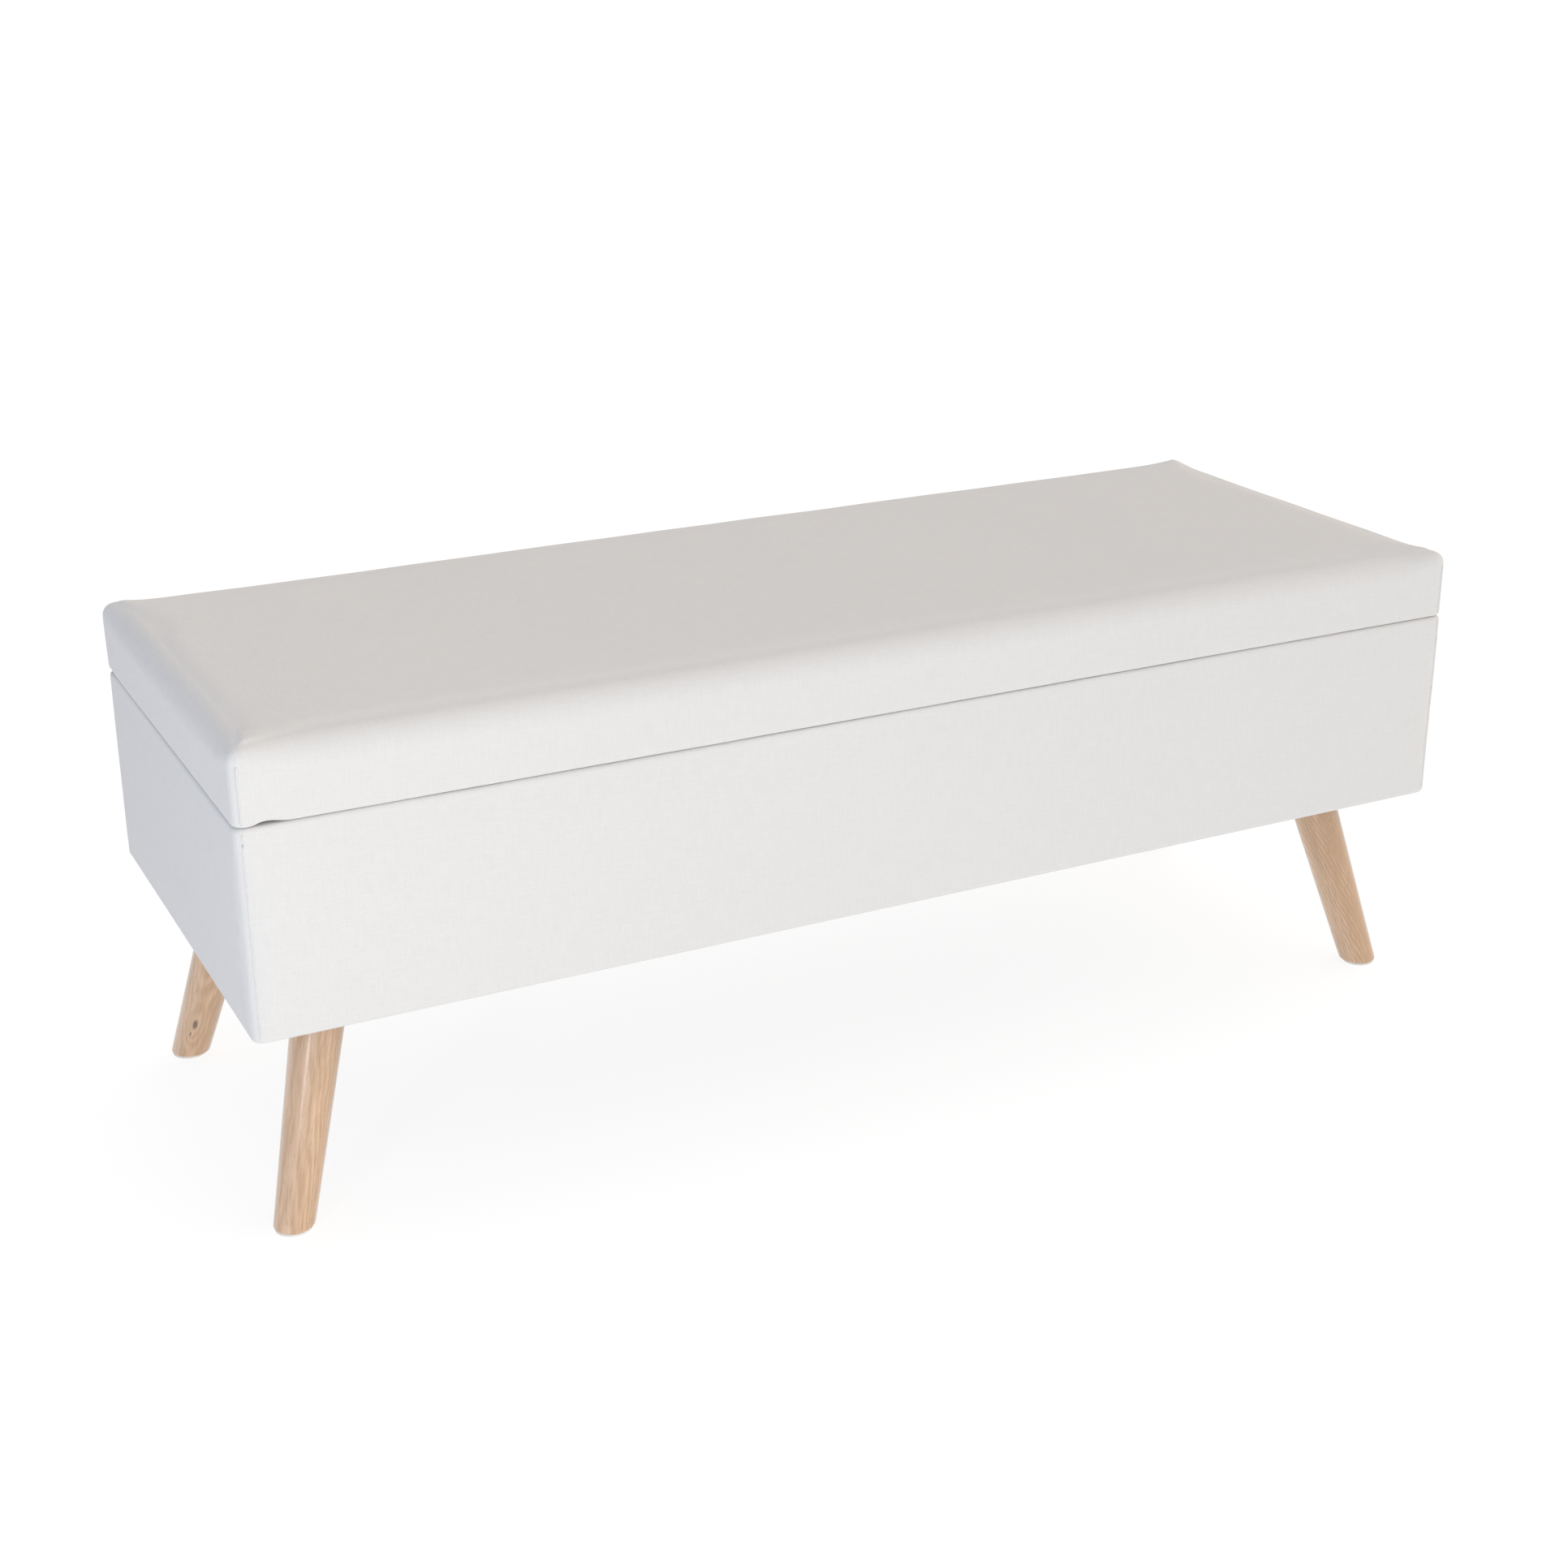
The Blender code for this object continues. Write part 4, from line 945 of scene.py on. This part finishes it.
def corner_ridges(kind, mesh, low, top, body, tuck):
    """The four upright seams of a cover."""
    heights = np.arange(low, top, 2.5 * MM)
    along = np.linspace(0.0, 1.0, len(heights))
    radii = RIDGE_RADIUS + (TUCK_RADIUS - RIDGE_RADIUS) * bump_at(along - 1.0, 0.06) * tuck
    radii[0] *= 0.3
    radii[-1] *= 0.3
    for end_name, side_x in (("left", -1), ("right", 1)):
        for face_name, side_y in (("front", -1), ("rear", 1)):
            line = corner_line(mesh, side_x, side_y, heights)
            line[:, 0] += 0.3 * MM * ripple(line, 0.03, 20 + side_x + 2 * side_y)
            name = f"{kind}_seam_{face_name}_{end_name}"
            roll_along(name, line, radii, SEAM_CLOTH, body)
    print(f"{kind} seams: 4 ridges, {len(heights)} rows each")


corner_ridges("lid", CUSHION.data, lid_low[2] + 2 * MM, lid_high[2] - LID_TIGHT, "lid", 1.0)
corner_ridges("box", SLEEVE.data, body_low[2] + 4 * MM, body_high[2] - 2 * MM, "box", 0.0)

# %% [markdown]
# ## Lining, lid underside and dust cloth
#
# Three thin cloths close the bench off: a sewn lining inside the box, a cloth stapled under the lid
# and a black one under the whole bench.  Each is made as a sheet with its true cut size.  The lining
# is the same soft box as the lid, turned inside out; the other two are flat grids that hang a touch
# between their staples, and the dust cloth has round holes that the legs pass through.

# %% Storage lining
LINING_CORNER = 5.0 * MM
LINING_REACH = 14.0 * MM
LINING_THICK = 0.8 * MM
lining_low, lining_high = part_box("storage_lining")


def inside_size():
    """The lining's inner corners, where its cloth shows."""
    wall = CLOTH_THICK
    low = (lining_low[0] + wall, lining_low[1] + wall, lining_low[2] + wall)
    high = (lining_high[0] - wall, lining_high[1] - wall, lining_high[2])
    return low, high


def storage_lining():
    """The cloth tray inside the box, seen from within."""
    low, high = inside_size()
    xs = grid_lines(low[0], high[0], LINING_REACH, 2 * MM, 14 * MM)
    ys = grid_lines(low[1], high[1], LINING_REACH, 2 * MM, 14 * MM)
    depths = grid_lines(0.0, high[2] - low[2], LINING_REACH, 2 * MM, 8 * MM)
    points, faces = box_skin(xs, ys, high[2] - depths, 0)
    upside = points.copy()
    upside[:, 2] = high[2] - points[:, 2]
    flat_low = (low[0], low[1], 0.0)
    flat_high = (high[0], high[1], high[2] - low[2])
    upside = soft_box(upside, flat_low, flat_high, LINING_REACH, LINING_CORNER, LINING_CORNER, 0.0)
    points = np.column_stack([upside[:, :2], high[2] - upside[:, 2]])
    mesh = skin_mesh("lining_sheet", points, faces)
    piece = add_piece("lining_sheet", mesh, LINING, "box", ("storage_lining",))
    facing = normals_of(mesh)
    from_floor = points[:, 2] - low[2]
    from_edge = np.minimum(corner_distance(points, low, high)[1], corner_distance(points, low, high)[2])
    slack = 1.0 - bump_at(from_edge, 0.03)
    on_floor = facing[:, 2] > 0.7
    waves = 0.45 * MM * (1.0 + ripple(points, 0.09, 31)) * slack
    folds = 1.0 + ripple(points * np.array([1.0, 1.0, 0.3]), 0.02, 32)
    puckers = 0.3 * MM * folds * bump_at(from_floor, 0.04)
    points = points + facing * np.where(on_floor, waves, puckers)[:, None]
    move_points(mesh, points)
    thicken(piece, LINING_THICK)
    width = high[1] - low[1]
    length = high[0] - low[0]
    depth = high[2] - low[2]
    cut = (length + 2 * depth, width + 2 * depth)
    cut_area = length * width + 2 * depth * (length + width)
    return piece, cut, cut_area


def lining_band(low, high):
    """The folded edge that finishes the lining's top."""
    fold = 0.9 * MM
    top = lining_high[2]
    profile = [(0.1 * MM, top - 6.5 * MM), (fold, top - 6.2 * MM)]
    profile += [(fold, top - 3 * MM), (fold, top + 1.5 * MM)]
    profile += [(0.6 * fold, top + 2.2 * MM), (0.1 * MM, top + 2.0 * MM)]
    xs = grid_lines(low[0], high[0], LINING_REACH, 2 * MM, 14 * MM)
    ys = grid_lines(low[1], high[1], LINING_REACH, 2 * MM, 14 * MM)
    points, faces = band(profile, xs, ys, low, high, LINING_REACH, LINING_CORNER)
    faces = [face[::-1] for face in faces]
    around = len(points) // len(profile)
    last = (len(profile) - 1) * around
    faces += [[i, (i + 1) % around, last + (i + 1) % around, last + i] for i in range(around)]
    mesh = skin_mesh("lining_fold", points, faces)
    return add_piece("lining_fold", mesh, LINING, "box")


LINING_SHEET, lining_cut, lining_area = storage_lining()
LINING_FOLD = lining_band(*inside_size())
print("lining cut", [round(v, 3) for v in lining_cut], "m, area", round(lining_area, 3), "m2")

# %% Flat cloths and their staples
STAPLE_WIDTH = 10.0 * MM
STAPLE_WIRE = 0.7 * MM
STAPLE_STEP = 60.0 * MM


def flat_cloth(name, low, high, finish, body, stands_for, sag, thick, seed):
    """A level sheet with slightly round corners that hangs a touch between its edges."""
    xs = grid_lines(low[0], high[0], 12 * MM, 3 * MM, 12 * MM)
    ys = grid_lines(low[1], high[1], 12 * MM, 3 * MM, 12 * MM)
    level = (low[2], low[2] + MM)
    points, faces = box_skin(xs, ys, level, 0)
    faces = [face for face in faces if all(points[i][2] > low[2] + MM / 2 for i in face)]
    points = soft_box(points, low, (high[0], high[1], low[2] + MM), 12 * MM, 4 * MM, 0.0, 0.0)
    points[:, 2] = low[2]
    edge_x = corner_distance(points, low, high)[1]
    edge_y = corner_distance(points, low, high)[2]
    slack = (1.0 - bump_at(edge_x, 0.06)) * (1.0 - bump_at(edge_y, 0.06))
    points[:, 2] -= sag * slack * (1.0 + 0.8 * ripple(points, 0.12, seed))
    mesh = skin_mesh(name, points, faces)
    loose = bmesh.new()
    loose.from_mesh(mesh)
    bmesh.ops.delete(loose, geom=[v for v in loose.verts if not v.link_faces], context="VERTS")
    loose.to_mesh(mesh)
    loose.free()
    piece = add_piece(name, mesh, finish, body, stands_for)
    thicken(piece, thick, inward=False)
    return piece


def staples(name, low, high, inset, level, body):
    """Staples along the four edges of a flat cloth, as bent wires pressed into it."""
    wires = bmesh.new()
    half = STAPLE_WIDTH / 2
    spots = []
    level_edges = [(low[1] + inset, False), (high[1] - inset, False)]
    turned_edges = [(low[0] + inset, True), (high[0] - inset, True)]
    for edge, turned in level_edges + turned_edges:
        start, stop = (low[1], high[1]) if turned else (low[0], high[0])
        count = round((stop - start) / STAPLE_STEP)
        for step in range(count):
            along = start + (stop - start) * (step + 0.5) / count
            spots.append(((edge, along), True) if turned else ((along, edge), False))
    for number, ((x, y), turned) in enumerate(spots):
        wander = noise.noise(Vector((x * 40, y * 40, 1.7)))
        angle = (math.pi / 2 if turned else 0.0) + 0.25 * wander
        path = [(-half, 0.9), (-half, 0.25), (-0.9 * half, 0.0)]
        path += [(0.9 * half, 0.0), (half, 0.25), (half, 0.9)]
        rings = []
        for place, rise in path:
            sideways = Vector((math.cos(angle), math.sin(angle), 0.0))
            centre = Vector((x, y, level + rise * MM)) + sideways * place
            across = Vector((-math.sin(angle), math.cos(angle), 0.0))
            upward = Vector((0.0, 0.0, 1.0))
            if rise > 0.2:
                upward = Vector((math.cos(angle), math.sin(angle), 0.0)) * (-1 if place < 0 else 1) * -1
            ring = []
            for side in range(6):
                turn = 2 * math.pi * side / 6
                spoke = across * math.cos(turn) + upward * math.sin(turn)
                ring.append(wires.verts.new(centre + spoke * STAPLE_WIRE / 2))
            rings.append(ring)
        for near, far in zip(rings, rings[1:]):
            for side in range(6):
                after = (side + 1) % 6
                wires.faces.new((near[side], near[after], far[after], far[side]))
        wires.faces.new(rings[0][::-1])
        wires.faces.new(rings[-1])
    bmesh.ops.recalc_face_normals(wires, faces=wires.faces)
    mesh = bpy.data.meshes.new(name)
    wires.to_mesh(mesh)
    wires.free()
    mesh.shade_smooth()
    print(f"{name}: {len(spots)} staples")
    return add_piece(name, mesh, STEEL, body)


UNDER_LID = 0.45 * MM
under_low, under_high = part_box("lid_underside_cloth")
under_low = Vector((under_low.x, under_low.y, under_low.z + UNDER_LID))
LID_CLOTH = flat_cloth(
    "lid_underside_sheet", under_low, under_high, LINING, "lid",
    ("lid_underside_cloth",), 0.15 * MM, 0.5 * MM, 41,
)
LID_STAPLES = staples("lid_cloth_staples", under_low, under_high, 7 * MM, under_low.z - 0.1 * MM, "lid")

# %% Dust cloth under the bench
HOLE_SIDES = 48
HOLE_RADIUS = 30.0 * MM
DUST_OVERLAP = 7.0 * MM      # how far the dust cloth lies over the sleeve's hem
LEGS = ("front_left", "front_right", "rear_left", "rear_right")


def leg_line(which):
    """A leg's line: the middle of its foot, and its direction up through its bolt."""
    pad_low, pad_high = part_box(f"foot_glide_{which}")
    bolt_low, bolt_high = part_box(f"leg_bolt_{which}")
    foot = Vector(((pad_low.x + pad_high.x) / 2, (pad_low.y + pad_high.y) / 2, 0.0))
    bolt = (bolt_low + bolt_high) / 2
    return foot, (bolt - foot).normalized()


def dust_sheet():
    """The black cloth under the bench, with a hole round each leg."""
    low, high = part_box("dust_cover")
    low = Vector((low.x - DUST_OVERLAP, low.y - DUST_OVERLAP, low.z + 0.1 * MM))
    high = Vector((high.x + DUST_OVERLAP, high.y + DUST_OVERLAP, high.z))
    piece = flat_cloth("dust_sheet", low, high, DUST_CLOTH, "box", ("dust_cover",),
                       0.0, 0.5 * MM, 51)
    cutters = []
    for which in LEGS:
        foot, along = leg_line(which)
        middle = foot + along * (low.z / along.z)
        cutter = bmesh.new()
        bmesh.ops.create_cone(
            cutter, cap_ends=True, segments=HOLE_SIDES, radius1=HOLE_RADIUS, radius2=HOLE_RADIUS, depth=0.02,
            matrix=Matrix.Translation(middle),
        )
        mesh = bpy.data.meshes.new("hole_" + which)
        cutter.to_mesh(mesh)
        cutter.free()
        tool = bpy.data.objects.new("hole_" + which, mesh)
        bpy.context.scene.collection.objects.link(tool)
        cut = piece.modifiers.new("hole", "BOOLEAN")
        cut.object = tool
        cutters.append(tool)
    settle(piece)
    for tool in cutters:
        bpy.data.objects.remove(tool)
    points = points_of(piece.data)
    edge_x = corner_distance(points, low, high)[1]
    edge_y = corner_distance(points, low, high)[2]
    slack = (1.0 - bump_at(edge_x, 0.05)) * (1.0 - bump_at(edge_y, 0.05))
    points[:, 2] -= 1.2 * MM * slack * (1.0 + 0.7 * ripple(points * np.array([1, 1, 0]), 0.10, 52))
    move_points(piece.data, points)
    pins = staples("dust_cloth_staples", low, high, 4 * MM, low.z - 0.15 * MM, "box")


dust_sheet()

# %% [markdown]
# ## Turned legs
#
# Each leg is a slim cone that leans outward both ways, so its foot has to be cut level with the
# floor.  A turned profile alone would stand on an edge.  The legs are made in rings along their own
# line: level rings near the foot, square ones higher up.  Every leg has its own piece of wood, with
# its own pith, its own bend in the grain and, on one of them, the dark knot.

# %% Legs
FOOT_RADIUS = 17.5 * MM
LEG_TOP_RADIUS = 24.0 * MM
LEG_SIDES = 64
FOOT_ROUND = 2.0 * MM
LEVEL_UNTIL = 0.030          # metres up the leg where its rings are square to its line
KNOT_FACES = {
    "front_left": (),
    "front_right": (),
    "rear_left": ((-0.0088, -0.0165, 0.041, 0.0030), (-0.0105, -0.0150, 0.029, 0.0010)),
    "rear_right": ((0.0190, 0.0080, 0.120, 0.0016),),
}
# The pith's place beside the leg, how much it slants along it, and how much painted shade darkens the leg
# where it stands in shade.
PITHS = {
    "front_left": ((0.060, 0.045), 0.05, 0.04),
    "front_right": ((-0.030, 0.010), 0.28, 0.32),
    "rear_left": ((0.015, 0.060), -0.06, 0.26),
    "rear_right": ((0.060, -0.020), 0.10, 0.15),
}


def turned_leg(which, seed):
    """One tapered leg with a level foot and a softened lower edge."""
    foot, along = leg_line(which)
    low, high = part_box(f"leg_{which}")
    length = (high.z - low.z - LEG_TOP_RADIUS * 0.4) / along.z
    right = (Vector((1.0, 0.0, 0.0)) - along * along.x).normalized()
    turn = Matrix((right, along.cross(right), along)).transposed()
    start = foot + along * (low.z / along.z)
    rings = [(0.0, FOOT_RADIUS * share) for share in (0.25, 0.55)]
    for step in range(7):
        angle = math.pi / 2 * step / 6
        rings.append((FOOT_ROUND * (1 - math.cos(angle)), FOOT_RADIUS - FOOT_ROUND * (1 - math.sin(angle))))
    for share in np.linspace(0.03, 0.985, 40):
        rings.append((length * share, None))
    rings.append((length - 0.6 * MM, None))
    points = []
    for height, given in rings:
        taper = FOOT_RADIUS + (LEG_TOP_RADIUS - FOOT_RADIUS) * height / length
        radius = taper if given is None else given
        level = 1.0 - min(1.0, height / LEVEL_UNTIL)
        for side in range(LEG_SIDES):
            angle = 2 * math.pi * side / LEG_SIDES
            x = math.cos(angle) * radius
            y = math.sin(angle) * radius
            tilt = -(x * turn[2][0] + y * turn[2][1]) / turn[2][2]
            points.append(start + turn @ Vector((x, y, height + tilt * level)))
    faces = []
    for row in range(len(rings) - 1):
        for side in range(LEG_SIDES):
            after = (side + 1) % LEG_SIDES
            here = row * LEG_SIDES
            faces.append([here + side, here + after, here + LEG_SIDES + after, here + LEG_SIDES + side])
    faces.append(list(range(LEG_SIDES))[::-1])
    faces.append([(len(rings) - 1) * LEG_SIDES + side for side in range(LEG_SIDES)])
    mesh = skin_mesh(f"turned_leg_{which}", points, faces)
    mesh.set_sharp_from_angle(angle=math.radians(50))
    finish = leg_wood(f"leg_wood_{which}", start, turn, *PITHS[which], seed, KNOT_FACES[which])
    add_piece(f"turned_leg_{which}", mesh, finish, "box", (f"leg_{which}",))
    leaning = math.degrees(along.angle(Vector((0, 0, 1))))
    print(f"leg {which}: {length / MM:.0f} mm long, leaning {leaning:.1f} degrees")


for number, which in enumerate(LEGS):
    turned_leg(which, 3.7 * number)

# %% [markdown]
# ## Glides and bumpers
#
# Under each foot sits a milky plastic glide with a rounded edge and a small nail in its middle, and
# two soft buttons under the lid keep it from slapping on the box.  All of them are lathe work, so one
# helper turns a profile round an upright axis.

# %% Turned pads
def turned(name, middle, profile, sides, finish, body, slot_name, stands_for):
    """A lathe piece from (radius, height) points; it closes at both ends on its axis."""
    points = []
    for radius, height in profile[1:-1]:
        for side in range(sides):
            angle = 2 * math.pi * side / sides
            outward = Vector((math.cos(angle), math.sin(angle), 0.0)) * radius
            points.append(middle + outward + Vector((0.0, 0.0, height)))
    faces = []
    rows = len(profile) - 2
    for row in range(rows - 1):
        for side in range(sides):
            after = (side + 1) % sides
            here = row * sides
            faces.append([here + side, here + after, here + sides + after, here + sides + side])
    points.append((middle.x, middle.y, middle.z + profile[0][1]))
    points.append((middle.x, middle.y, middle.z + profile[-1][1]))
    for side in range(sides):
        after = (side + 1) % sides
        faces.append([len(points) - 2, after, side])
        faces.append([len(points) - 1, (rows - 1) * sides + side, (rows - 1) * sides + after])
    mesh = skin_mesh(name, points, faces)
    mesh.set_sharp_from_angle(angle=math.radians(40))
    return add_piece(name, mesh, finish, body, stands_for)


def glide(which):
    """A nail-on glide: a low disc with a round edge and a dimple for its nail."""
    low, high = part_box(f"foot_glide_{which}")
    middle = Vector(((low.x + high.x) / 2, (low.y + high.y) / 2, 0.0))
    radius = (high.x - low.x) / 2
    thick = high.z
    edge = 1.0 * MM
    flat = radius - edge
    profile = [(0.0, 0.9 * MM), (1.6 * MM, 0.9 * MM), (2.2 * MM, 0.2 * MM), (3.0 * MM, 0.0), (flat, 0.0)]
    for angle in np.linspace(0.3, 1.57, 5):
        profile.append((flat + edge * math.sin(angle), edge - edge * math.cos(angle)))
    profile += [(radius, thick - 0.6 * MM), (radius - 0.4 * MM, thick), (radius * 0.5, thick), (0.0, thick)]
    turned(f"glide_{which}", middle, profile, 64, GLIDE_PLASTIC, "box", "pad", (f"foot_glide_{which}",))
    nail = [(0.0, 0.35 * MM), (0.8 * MM, 0.38 * MM), (1.5 * MM, 0.55 * MM)]
    nail += [(1.7 * MM, 0.8 * MM), (1.7 * MM, 1.0 * MM), (0.0, 1.0 * MM)]
    turned(f"glide_nail_{which}", middle, nail, 24, STEEL, "box", "steel", ())


def bumper(side):
    """A soft button under the lid."""
    low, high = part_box(f"lid_bumper_{side}")
    middle = Vector(((low.x + high.x) / 2, (low.y + high.y) / 2, low.z))
    radius = (high.x - low.x) / 2
    tall = high.z - low.z
    profile = [(radius * math.sin(a), tall * (1 - math.cos(a)) * 0.8) for a in np.linspace(0.0, 1.57, 9)]
    profile += [(radius, tall * 0.95), (radius * 0.6, tall), (0.0, tall)]
    turned(f"bumper_{side}", middle, profile, 40, GLIDE_PLASTIC, "lid", "pad", (f"lid_bumper_{side}",))


for which in LEGS:
    glide(which)
for side in ("left", "right"):
    bumper(side)
print("glides and bumpers made")

# %% [markdown]
# ## Screws
#
# A screw is recognised by its head, so the head gets the care: a low countersunk cone, a slightly
# domed top with a cross recess, and a thread below.  One screw is made lying along Z; each place on
# the hinges and stays then gets its own copy, turned so that its head faces the way the plain
# screw's head does.

# %% Cross-head screws
def screw_mesh(radius, head, length):
    """A cross-recessed countersunk screw with its head's top at the origin and its point down."""
    body = bmesh.new()
    sides = 32
    pitch = 1.3 * MM
    rows = [(0.0, 0.0), (head * 0.55, 0.0), (head * 0.9, -0.12 * MM)]
    rows += [(head, -0.35 * MM), (head * 0.98, -0.5 * MM), (radius * 0.85, -2.2 * MM)]
    steps = 40
    for step in range(1, steps + 1):
        depth = 2.2 * MM + (length - 2.4 * MM - 2.2 * MM) * step / steps
        ridge = 0.5 + 0.5 * math.cos(2 * math.pi * depth / pitch)
        rows.append((radius * (0.72 + 0.26 * ridge), -depth))
    rows.append((0.15 * MM, -(length - 0.2 * MM)))
    rings = [[body.verts.new((0.0, 0.0, rows[0][1]))]]
    for wide, height in rows[1:]:
        ring = []
        for side in range(sides):
            angle = 2 * math.pi * side / sides
            ring.append(body.verts.new((math.cos(angle) * wide, math.sin(angle) * wide, height)))
        rings.append(ring)
    for side in range(sides):
        body.faces.new((rings[0][0], rings[1][side], rings[1][(side + 1) % sides]))
    for near, far in zip(rings[1:], rings[2:]):
        for side in range(sides):
            after = (side + 1) % sides
            body.faces.new((near[side], far[side], far[after], near[after]))
    body.faces.new(rings[-1][::-1])
    bmesh.ops.recalc_face_normals(body, faces=body.faces)
    mesh = bpy.data.meshes.new("cross_head_screw")
    body.to_mesh(mesh)
    body.free()
    return mesh


def recess_tool(size):
    """A cross that narrows as it goes down, as the driver's tip does."""
    tool = bmesh.new()
    for turn in (0.0, math.pi / 2):
        cut = bmesh.ops.create_cube(tool, size=1.0)["verts"]
        for vert in cut:
            taper = 1.0 if vert.co.z > 0 else 0.35
            wide = size * 2.3 * taper
            thin = size * 0.5 * (0.6 + 0.4 * taper)
            vert.co = Vector((vert.co.x * wide, vert.co.y * thin, vert.co.z * 2.4 * MM))
            vert.co.rotate(Matrix.Rotation(turn, 3, "Z"))
    mesh = bpy.data.meshes.new("recess")
    tool.to_mesh(mesh)
    tool.free()
    return mesh


def finished_screw():
    """The screw with its recess cut, as one mesh that all copies share."""
    blank = bpy.data.objects.new("screw_blank", screw_mesh(1.7 * MM, 3.3 * MM, 9.9 * MM))
    bpy.context.scene.collection.objects.link(blank)
    tool = bpy.data.objects.new("recess_tool", recess_tool(1.45 * MM))
    bpy.context.scene.collection.objects.link(tool)
    cut = blank.modifiers.new("recess", "BOOLEAN")
    cut.object = tool
    cut.use_self = True
    settle(blank)
    mesh = blank.data
    bpy.data.objects.remove(blank)
    bpy.data.objects.remove(tool)
    mesh.shade_smooth()
    mesh.set_sharp_from_angle(angle=math.radians(35))
    mesh.materials.append(STEEL)
    return mesh


def place_screw(node, mesh):
    """Puts a copy of the screw where a plain one stands, head for head."""
    points = points_of(nodes[node].data)
    low = points.min(axis=0)
    high = points.max(axis=0)
    axis = int((high - low).argmax())
    middle = (low + high) / 2
    across = np.delete(points - middle, axis, axis=1)
    wide = np.hypot(across[:, 0], across[:, 1])
    head_high = points[wide > 0.95 * wide.max(), axis].mean() > middle[axis]
    top = middle.copy()
    top[axis] = high[axis] if head_high else low[axis]
    out = Vector((0.0, 0.0, 0.0))
    out[axis] = 1.0 if head_high else -1.0
    spin = Matrix.Rotation(1.3 * math.sin(37.0 * (middle[0] + 2 * middle[1])), 4, "Z")
    piece = bpy.data.objects.new("cross_" + node, mesh)
    turned_out = out.to_track_quat("Z", "Y").to_matrix().to_4x4()
    piece.matrix_world = Matrix.Translation(Vector(top)) @ turned_out @ spin
    bpy.context.scene.collection.objects.link(piece)
    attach(piece, nodes[node]["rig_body"])
    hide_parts(node)


SCREW = finished_screw()
screw_nodes = sorted(name for name in nodes if "screw" in name)
for node in screw_nodes:
    place_screw(node, SCREW)
print(f"{len(screw_nodes)} screws, {len(SCREW.polygons)} faces each")

# %% [markdown]
# ## Hinges, stays and boards
#
# These parts have their true shape already, so they stay and only get their finish.  Sheet metal is
# never knife-sharp though: a hair-thin bevel catches the light along every edge.  The parts come in
# as loose triangles, so their points are welded first, then bevelled, and then the flat and the
# round faces are told apart by the angle between them.

# %% Finish the solid parts
EDGE_ROUND = 0.25 * MM


def shading_by_angle():
    """A node group that shades faces smooth, except across edges sharper than the angle."""
    group = bpy.data.node_groups.new("shading_by_angle", "GeometryNodeTree")
    group.interface.new_socket("Geometry", in_out="INPUT", socket_type="NodeSocketGeometry")
    group.interface.new_socket("Geometry", in_out="OUTPUT", socket_type="NodeSocketGeometry")
    enter = group.nodes.new("NodeGroupInput")
    leave = group.nodes.new("NodeGroupOutput")
    angle = group.nodes.new("GeometryNodeInputMeshEdgeAngle")
    sharp = group.nodes.new("FunctionNodeCompare")
    sharp.inputs[1].default_value = math.radians(35)
    normal = group.nodes.new("GeometryNodeSetMeshNormal")
    normal.mode = "SHARPNESS"
    group.links.new(enter.outputs[0], normal.inputs["Mesh"])
    normal.inputs["Remove Custom"].default_value = True
    group.links.new(angle.outputs[0], sharp.inputs[0])
    group.links.new(sharp.outputs[0], normal.inputs["Edge Sharpness"])
    group.links.new(normal.outputs[0], leave.inputs[0])
    return group


SHADING = shading_by_angle()


def finish_part(node, material, edge):
    """Gives a solid part its material and a fine bevel."""
    part = nodes[node]
    for slot_number in range(len(part.material_slots)):
        part.material_slots[slot_number].material = material
    weld = part.modifiers.new("weld", "WELD")
    weld.merge_threshold = 0.001 * MM
    bevel = part.modifiers.new("edge", "BEVEL")
    bevel.width = edge
    bevel.segments = 2
    bevel.limit_method = "ANGLE"
    bevel.angle_limit = math.radians(40)
    bevel.use_clamp_overlap = True
    smooth = part.modifiers.new("shading", "NODES")
    smooth.node_group = SHADING


steel_starts = ("hinge_body", "hinge_lid", "hinge_pin", "leg_bolt")
steel_parts = [name for name in nodes if name.startswith(steel_starts)]
steel_parts += [name for name in nodes if name.startswith("stay_") and "screw" not in name]
wooden_parts = [name for name in nodes if name.endswith("_panel") or name.startswith("leg_block")]
wooden_parts.append("lid_board")
for node in steel_parts:
    finish_part(node, STEEL, EDGE_ROUND)
for node in wooden_parts:
    finish_part(node, PLYWOOD, 3.0 * MM if node in ("front_panel", "rear_panel") else 0.5 * MM)
print(len(steel_parts), "steel parts and", len(wooden_parts), "boards finished")
